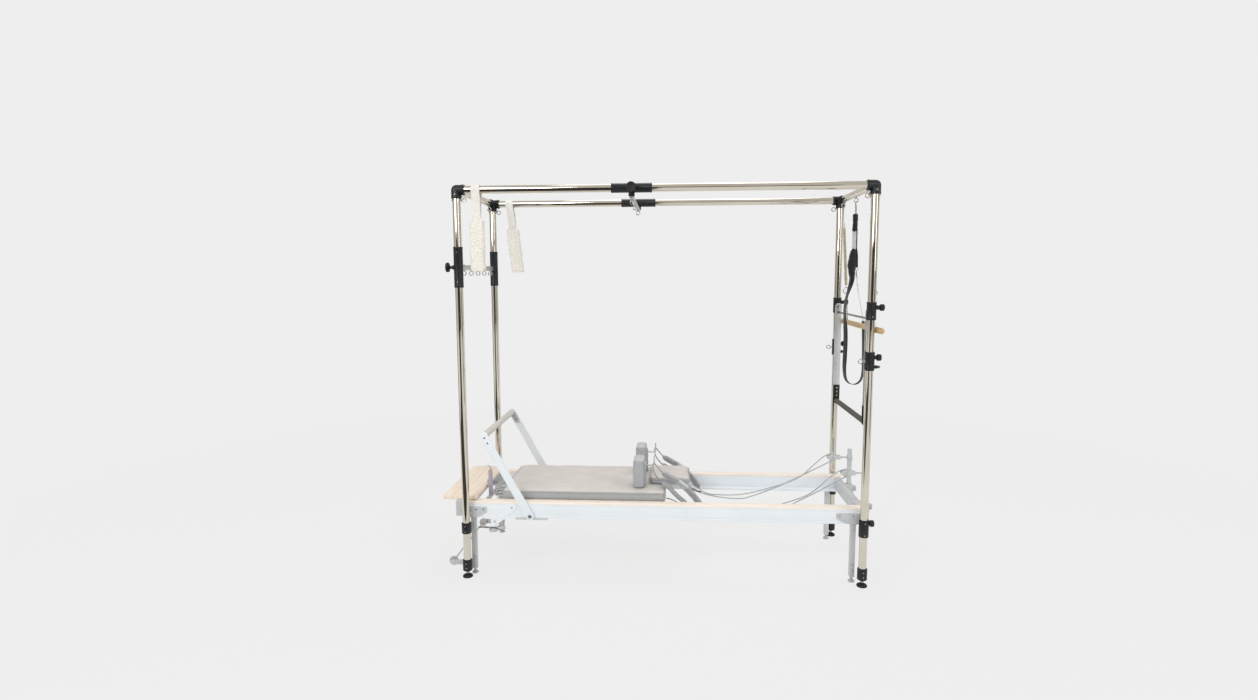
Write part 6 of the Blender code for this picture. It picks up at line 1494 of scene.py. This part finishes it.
class SpringsAndRopes(bpy.types.Operator):
    """Make the carriage springs, the two pulley ropes and their padded hand loops"""
    bl_idname = "trapeze.springs_and_ropes"
    bl_label = "Springs, ropes and loops"

    def execute(self, context):
        sizes = context.scene.trapeze_sizes
        for number in (1, 2, 3):
            y = (number - 2) * 0.062
            spring = coil((SPRING_BAR_X + 0.0076, y, SPRING_Z), (-0.8002, y, SPRING_Z), 0.0092,
                0.0017, 0.0047, 0.012, 14, sizes.sides)
            piece = put(f"bed_spring_{number}", spring, "zinc_plated_steel", None,
                f"carriage_spring_{number}")
            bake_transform(piece)
        for side, name in SIDES:
            y = side * 0.172
            line = rope_route(side)
            rope = put(f"{name}_pulley_rope", carried(circle(sizes.rope, 12), line, Y),
                "braided_rope", None, f"{name}_rope")
            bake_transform(rope)
            line = smooth_path(np.array(LOOP) * (1, side, 1), 200, closed=True)
            tape = carried(rounded_rect(0.003, 0.026, 0.0012, 2), line, Y, ring=True)
            soft = []
            for first, last, thick, wide, lean in ((16, 92, 0.016, 0.046, -0.85),
                    (122, 170, 0.012, 0.038, -0.3)):
                part = line[first:last]
                t = np.linspace(0, 1, len(part))
                end = np.clip(np.minimum(t, 1 - t) / 0.08, 0, 1) ** 0.5
                soft.append(carried(rounded_rect(thick, wide, thick * 0.42, 5), part, Y,
                    turn=lean * end, scale=0.55 + 0.45 * end))
            put(f"{name}_hand_loop_tape", tape, "bed_loop_webbing", "carriage")
            pads = put(f"{name}_hand_loop_padding", join(*soft), "bed_loop_fleece", "carriage",
                sharp=60)
            band = carried(rounded_rect(0.0175, 0.0475, 0.007, 5), line[42:58], Y,
                turn=np.full(16, -0.85))
            put(f"{name}_hand_loop_patch", band, "grey_cotton_webbing", "carriage",
                slot="bed_rope")
        return {"FINISHED"}


# ---- footbar

class Footbar(bpy.types.Operator):
    """Make the footbar with its gates, arms, foam sleeve and lock lever"""
    bl_idname = "trapeze.footbar"
    bl_label = "Footbar and lever"

    def execute(self, context):
        pivot, grip = np.array((PIVOT[0], 0, PIVOT[1])), np.array((GRIP[0], 0, GRIP[1]))
        long = np.linalg.norm(grip - pivot)
        way = (grip - pivot) / long
        y = RAIL_Y + 0.0003 + 0.003 + 0.0004
        up = np.cross(way, Y)
        face = RAIL_Y - 0.0004
        arms, caps, bolts, gates, racks, pins = [], [], [], [], [], []
        bar_line = stadium((0, 0), (long, 0), 0.0229, 17)
        cap_line = stadium((long - 0.062, 0), (long, 0), 0.0178, 13)
        strut_start, strut_end = np.array((-0.85, 0, 0.4)), np.array((-0.95, 0, 0.318))
        strut_way = (strut_end - strut_start) / np.linalg.norm(strut_end - strut_start)
        strut = stadium((0, 0), (np.linalg.norm(strut_end - strut_start), 0), 0.0238, 15)
        for side in (-1, 1):
            def at(place, depth):
                return np.array((place[0], side * depth, place[2]))

            arms.append(plate(bar_line, -side * 0.0098, at(pivot, y + 0.0001), way, up, 0.0016))
            caps.append(plate(cap_line, side * 0.0086, at(pivot, y + 0.0004), way, up, 0.0016))
            bolts += [screw(at(grip - way * (0.03 + 0.026 * k), y - 0.0082), -side * Y, 0.0068,
                0.0034) for k in range(2)]
            bolts += [screw(at(grip - way * (0.012 + 0.034 * k), y + 0.0095), side * Y, 0.0058,
                0.003) for k in range(2)]
            gates.append(plate(strut, -side * 0.0036, at(strut_start, face), strut_way,
                np.cross(strut_way, Y), 0.0008))
            low, high = sorted((side * (face + 0.0009), side * (face + 0.016)))
            gates.append(box((-0.967, low, 0.2895), (-0.943, high, 0.309), 0.0015))
            low, high = sorted((side * (face - 0.0006), side * (y - 0.0005)))
            racks.append(box((-0.83, low, 0.33), (-0.645, high, 0.342), 0.0012))
            gates.append(drum(at(pivot, face), side * Y, 0.02, 0, 0.0035, 40, 0.0006))
            pins += [rod(at(pivot, face), at(pivot, y + 0.0135), 0.0079),
                hex_head(at(pivot, y + 0.0107), side * Y, 0.0215, 0.0038),
                screw(at(strut_start, y - 0.0008), side * Y, 0.005),
                screw(at(strut_end, y - 0.0008), side * Y, 0.005)]
        put("footbar_flat_arms", join(*arms), "white_baked_enamel", "footbar", "footbar_arms")
        core = rod((GRIP[0], -y, GRIP[1]), (GRIP[0], y, GRIP[1]), 0.01)
        put("footbar_corner_caps", join(*caps, core), "grey_moulded_nylon", "footbar")
        put("footbar_bolts", join(*bolts), "zinc_plated_steel", "footbar")
        put("footbar_gates", join(*gates), "white_baked_enamel", "frame")
        put("footbar_racks", join(*racks), "grey_coated_steel", "frame", slot="bed_metal")
        put("footbar_pivot_bolts", join(*pins), "zinc_plated_steel", "frame")
        stop = y - 0.0085
        line = [(0.0102, -stop), (0.016, -stop), (0.0185, -stop + 0.004), (0.0185, stop - 0.004),
            (0.016, stop), (0.0102, stop)]
        put("footbar_foam_sleeve", lathe(line, (GRIP[0], 0, GRIP[1]), Y, 48), "pale_foam_sleeve",
            "footbar", "footbar_grip")

        x, y = -0.955, -0.3435
        u = np.linspace(-1.045, -0.925, 60)
        v = 0.2845 + 0.0022 * np.sin((u + 1.045) / 0.01 * 0.9)
        wave = np.concatenate((columns(u, v - 0.0019), columns(u, v + 0.0019)[::-1]))
        blade = plate(wave, -0.0156, (0, y - 0.0078, 0), X, Z, 0.001, 2)
        grip_line = [(0, 0.046), (0.004, 0.0455), (0.0075, 0.042), (0.009, 0.036), (0.0086, 0.026),
            (0.009, 0.018), (0.0075, 0.006), (0.0055, 0.001), (0, 0)][::-1]
        put("footbar_lever_blade", blade, "zinc_plated_steel", "footbar_lock", "footbar_lever")
        put("footbar_lever_grips", join(lathe(grip_line, (-0.933, y, float(v[-1])), X, 28),
            disc_knob((x, y, 0.2835), -Z)), "grey_moulded_nylon", "footbar_lock")
        return {"FINISHED"}


# ---- stage

# the camera fitted to the photograph: its turns in degrees, and its place from the origin
CAMERA_TURNS = ((3.6374, "Z"), (-6.2437, "X"), (0.2101, "Y"))
CAMERA_PLACE = (0.0538, -3.9984, 1.7053)


def studio_card(name, low, high, material):
    """A four-cornered card of the studio, level or upright, between two opposite corners."""
    (x, y, z), (x2, y2, z2) = low, high
    points = [(x2, y, z), (x2, y2, z), (x, y2, z)] if z == z2 else [(x2, y2, z), (x2, y2, z2),
        (x, y, z2)]
    mesh = bpy.data.meshes.new(name)
    mesh.from_pydata([low, *points], [], [(0, 1, 2, 3)])
    mesh.materials.append(material)
    return placed(name, mesh)


class StudioStage(bpy.types.Operator):
    """Make the pale floor, the soft studio light, the cards it reflects in, and the camera"""
    bl_idname = "trapeze.studio_stage"
    bl_label = "Floor, light and camera"

    def execute(self, context):
        scene = context.scene
        look = scene.trapeze_stage
        scene.view_settings.view_transform = "Standard"
        material, tree, shader, place = begin("matt_studio_floor", 0.9)
        shade = linear("backdrop")
        shader.inputs["Base Color"].default_value = shade
        shader.inputs["Specular IOR Level"].default_value = 0.0
        path = add(tree, "ShaderNodeLightPath")
        glow = add(tree, "ShaderNodeEmission", {"Color": shade, "Strength": 1.0})
        away = add(tree, "ShaderNodeVectorMath", {0: place.outputs["Object"]}, operation="LENGTH")
        fade = add(tree, "ShaderNodeMapRange", {"Value": away.outputs["Value"], "From Min": 2.0,
            "From Max": 6.0, "To Min": look.floor_glow, "To Max": 1.0})
        lit = add(tree, "ShaderNodeMixShader", {0: fade.outputs[0], 1: shader.outputs[0],
            2: glow.outputs[0]})
        seen = add(tree, "ShaderNodeMath", {0: path.outputs["Is Camera Ray"],
            1: path.outputs["Is Glossy Ray"]}, operation="MAXIMUM")
        both = add(tree, "ShaderNodeMixShader", {0: seen.outputs[0], 1: shader.outputs[0],
            2: lit.outputs[0]})
        tree.links.new(both.outputs[0], tree.nodes["Material Output"].inputs["Surface"])
        reach = 30.0
        studio_card("studio_floor", (-reach, -reach, 0), (reach, reach, 0), material)

        world = bpy.data.worlds.new("studio_room")
        scene.world = world
        world.use_nodes = True
        tree = world.node_tree
        back = tree.nodes["Background"]
        back.inputs["Color"].default_value = linear("#eceae6")
        back.inputs["Strength"].default_value = look.room_light
        view = add(tree, "ShaderNodeBackground", {"Color": linear("backdrop"), "Strength": 1.0})
        path = add(tree, "ShaderNodeLightPath")
        mixed = add(tree, "ShaderNodeMixShader", {0: path.outputs["Is Camera Ray"],
            1: back.outputs[0], 2: view.outputs[0]})
        tree.links.new(mixed.outputs[0], tree.nodes["World Output"].inputs["Surface"])

        for name, place, size, power in (("key_softbox", (-3.0, -4.5, 4.2), 2.6, look.key_power),
                ("fill_softbox", (4.2, -2.6, 3.2), 2.2, look.key_power * 0.4),
                ("top_softbox", (0.3, 1.5, 5.0), 3.0, look.key_power * 0.5)):
            lamp = bpy.data.lights.new(name, "AREA")
            lamp.size, lamp.energy, lamp.shape = size, power, "SQUARE"
            light = placed(name, lamp)
            light.location = place
            aim = np.array((0.0, 0.0, 1.0)) - np.array(place)
            light.rotation_euler = Vector(aim).to_track_quat("-Z", "Y").to_euler()

        # dark cards that only reflections see: they draw the streaks in the plating
        for name, low, high, tone in (("dark_card_left", (-4.6, -6.0, 0.0), (-0.1, -6.0, 3.3),
                "#2c3036"), ("dark_card_right", (-0.1, -6.0, 1.3), (3.4, -6.0, 3.0), "#4a4034"),
                ("dark_mat", (-4.6, -6.0, 0.004), (-0.1, -1.0, 0.004), "#332d27"),
                ("dark_card_side", (3.8, -2.6, 0.0), (3.8, -1.2, 3.6), "#40372d"),
                ("dark_card_far", (-4.2, 0.4, 0.0), (-4.2, 2.2, 3.6), "#40372d")):
            material, tree, shader, place = begin(f"{name}_cloth", 1.0)
            shader.inputs["Base Color"].default_value = linear(tone)
            card = studio_card(name, low, high, material)
            card.visible_camera = card.visible_diffuse = card.visible_shadow = False

        eye = bpy.data.cameras.new("photo_camera")
        eye.sensor_width, eye.lens = 36.0, look.lens
        camera = placed("photo_camera", eye)
        turn = Matrix.Identity(3)
        for angle, axis in CAMERA_TURNS:
            turn = turn @ Matrix.Rotation(math.radians(angle), 3, axis)
        right, ahead, up = turn.col[0], turn.col[1], turn.col[2]
        stand = Matrix((right, up, -ahead)).transposed().to_4x4()
        stand.translation = ORIGIN + CAMERA_PLACE
        camera.matrix_world = stand
        scene.camera = camera
        return {"FINISHED"}


# ---- settings

def colour(name, code, words):
    """A colour setting with a hex default."""
    return FloatVectorProperty(name=name, description=words, default=linear(code)[:3], size=3,
        min=0, max=1, subtype="COLOR")


class TrapezeColours(bpy.types.PropertyGroup):
    """Colours of the finishes that cover the most"""
    chrome: colour("Chrome", "#ddd6c9", "Plated tube of the frame")
    casting: colour("Castings", "#0e1217", "Powder coat of the sleeves and feet")
    fleece: colour("Fleece", "#fbf8f0", "Tips of the wool")
    fleece_shade: colour("Fleece shade", "#d8d3c8", "Depths of the wool")
    bed_rail: colour("Bed rails", "#e9eff5", "Enamel of the rails and the footbar arms")
    backdrop: colour("Backdrop", "#eeeeee", "Floor and wall behind the table")


class TrapezeSizes(bpy.types.PropertyGroup):
    """Sizes that only the finished pieces have"""
    piping: FloatProperty(name="Piping", description="Radius of the piping round the pads",
        default=0.0019, min=0.001, max=0.003, unit="LENGTH")
    crown: FloatProperty(name="Pad crown", description="How far the carriage pad's top swells",
        default=0.0062, min=0.0, max=0.007, unit="LENGTH")
    rope: FloatProperty(name="Rope", description="Radius of the pulley ropes", default=0.0034,
        min=0.002, max=0.004, unit="LENGTH")
    sides: IntProperty(name="Wire sides", description="Sides of the wire of the bed springs",
        default=6, min=4, max=16)


class TrapezeStage(bpy.types.PropertyGroup):
    """Light and camera"""
    lens: FloatProperty(name="Lens", description="Focal length on a 36 mm sensor", default=19.28,
        min=10, max=200, subtype="DISTANCE_CAMERA", unit="CAMERA")
    key_power: FloatProperty(name="Key light", description="Power of the largest softbox in watts",
        default=130.0, min=0, subtype="POWER")
    room_light: FloatProperty(name="Room light", description="Brightness of the even room light",
        default=0.74, min=0)
    floor_glow: FloatProperty(name="Floor glow", description="Share of the floor's own light",
        default=0.88, min=0, max=1, subtype="FACTOR")


PIECES = (FramePosts, FrameRails, LeftSlider, CanopySlider, PushBar, SpringCollars, FleeceLoops,
    RollDownBar, SafetyStrap, BedRails, BedEnds, Carriage, SpringsAndRopes, Footbar, StudioStage)
SETTINGS = {"trapeze_colours": TrapezeColours, "trapeze_sizes": TrapezeSizes,
    "trapeze_stage": TrapezeStage}


class TrapezePanel(bpy.types.Panel):
    """The trapeze table's settings and the operators that make its pieces"""
    bl_idname = "VIEW3D_PT_trapeze_table"
    bl_label = "Trapeze table"
    bl_space_type = "VIEW_3D"
    bl_region_type = "UI"
    bl_category = "Trapeze"

    def draw(self, context):
        layout = self.layout
        for key, group in SETTINGS.items():
            part = layout.box()
            part.label(text=group.__doc__)
            for name in group.__annotations__:
                part.prop(getattr(context.scene, key), name)
        column = layout.column(align=True)
        for piece in PIECES:
            column.operator(piece.bl_idname)


def register():
    for kind in (*SETTINGS.values(), *PIECES, TrapezePanel):
        bpy.utils.register_class(kind)
    for key, group in SETTINGS.items():
        setattr(bpy.types.Scene, key, PointerProperty(type=group))


def unregister():
    for key in SETTINGS:
        delattr(bpy.types.Scene, key)
    for kind in reversed((*SETTINGS.values(), *PIECES, TrapezePanel)):
        bpy.utils.unregister_class(kind)


def main():
    register()
    for piece in PIECES:
        group, name = piece.bl_idname.split(".")
        getattr(getattr(bpy.ops, group), name)()


if __name__ == "__main__":
    main()
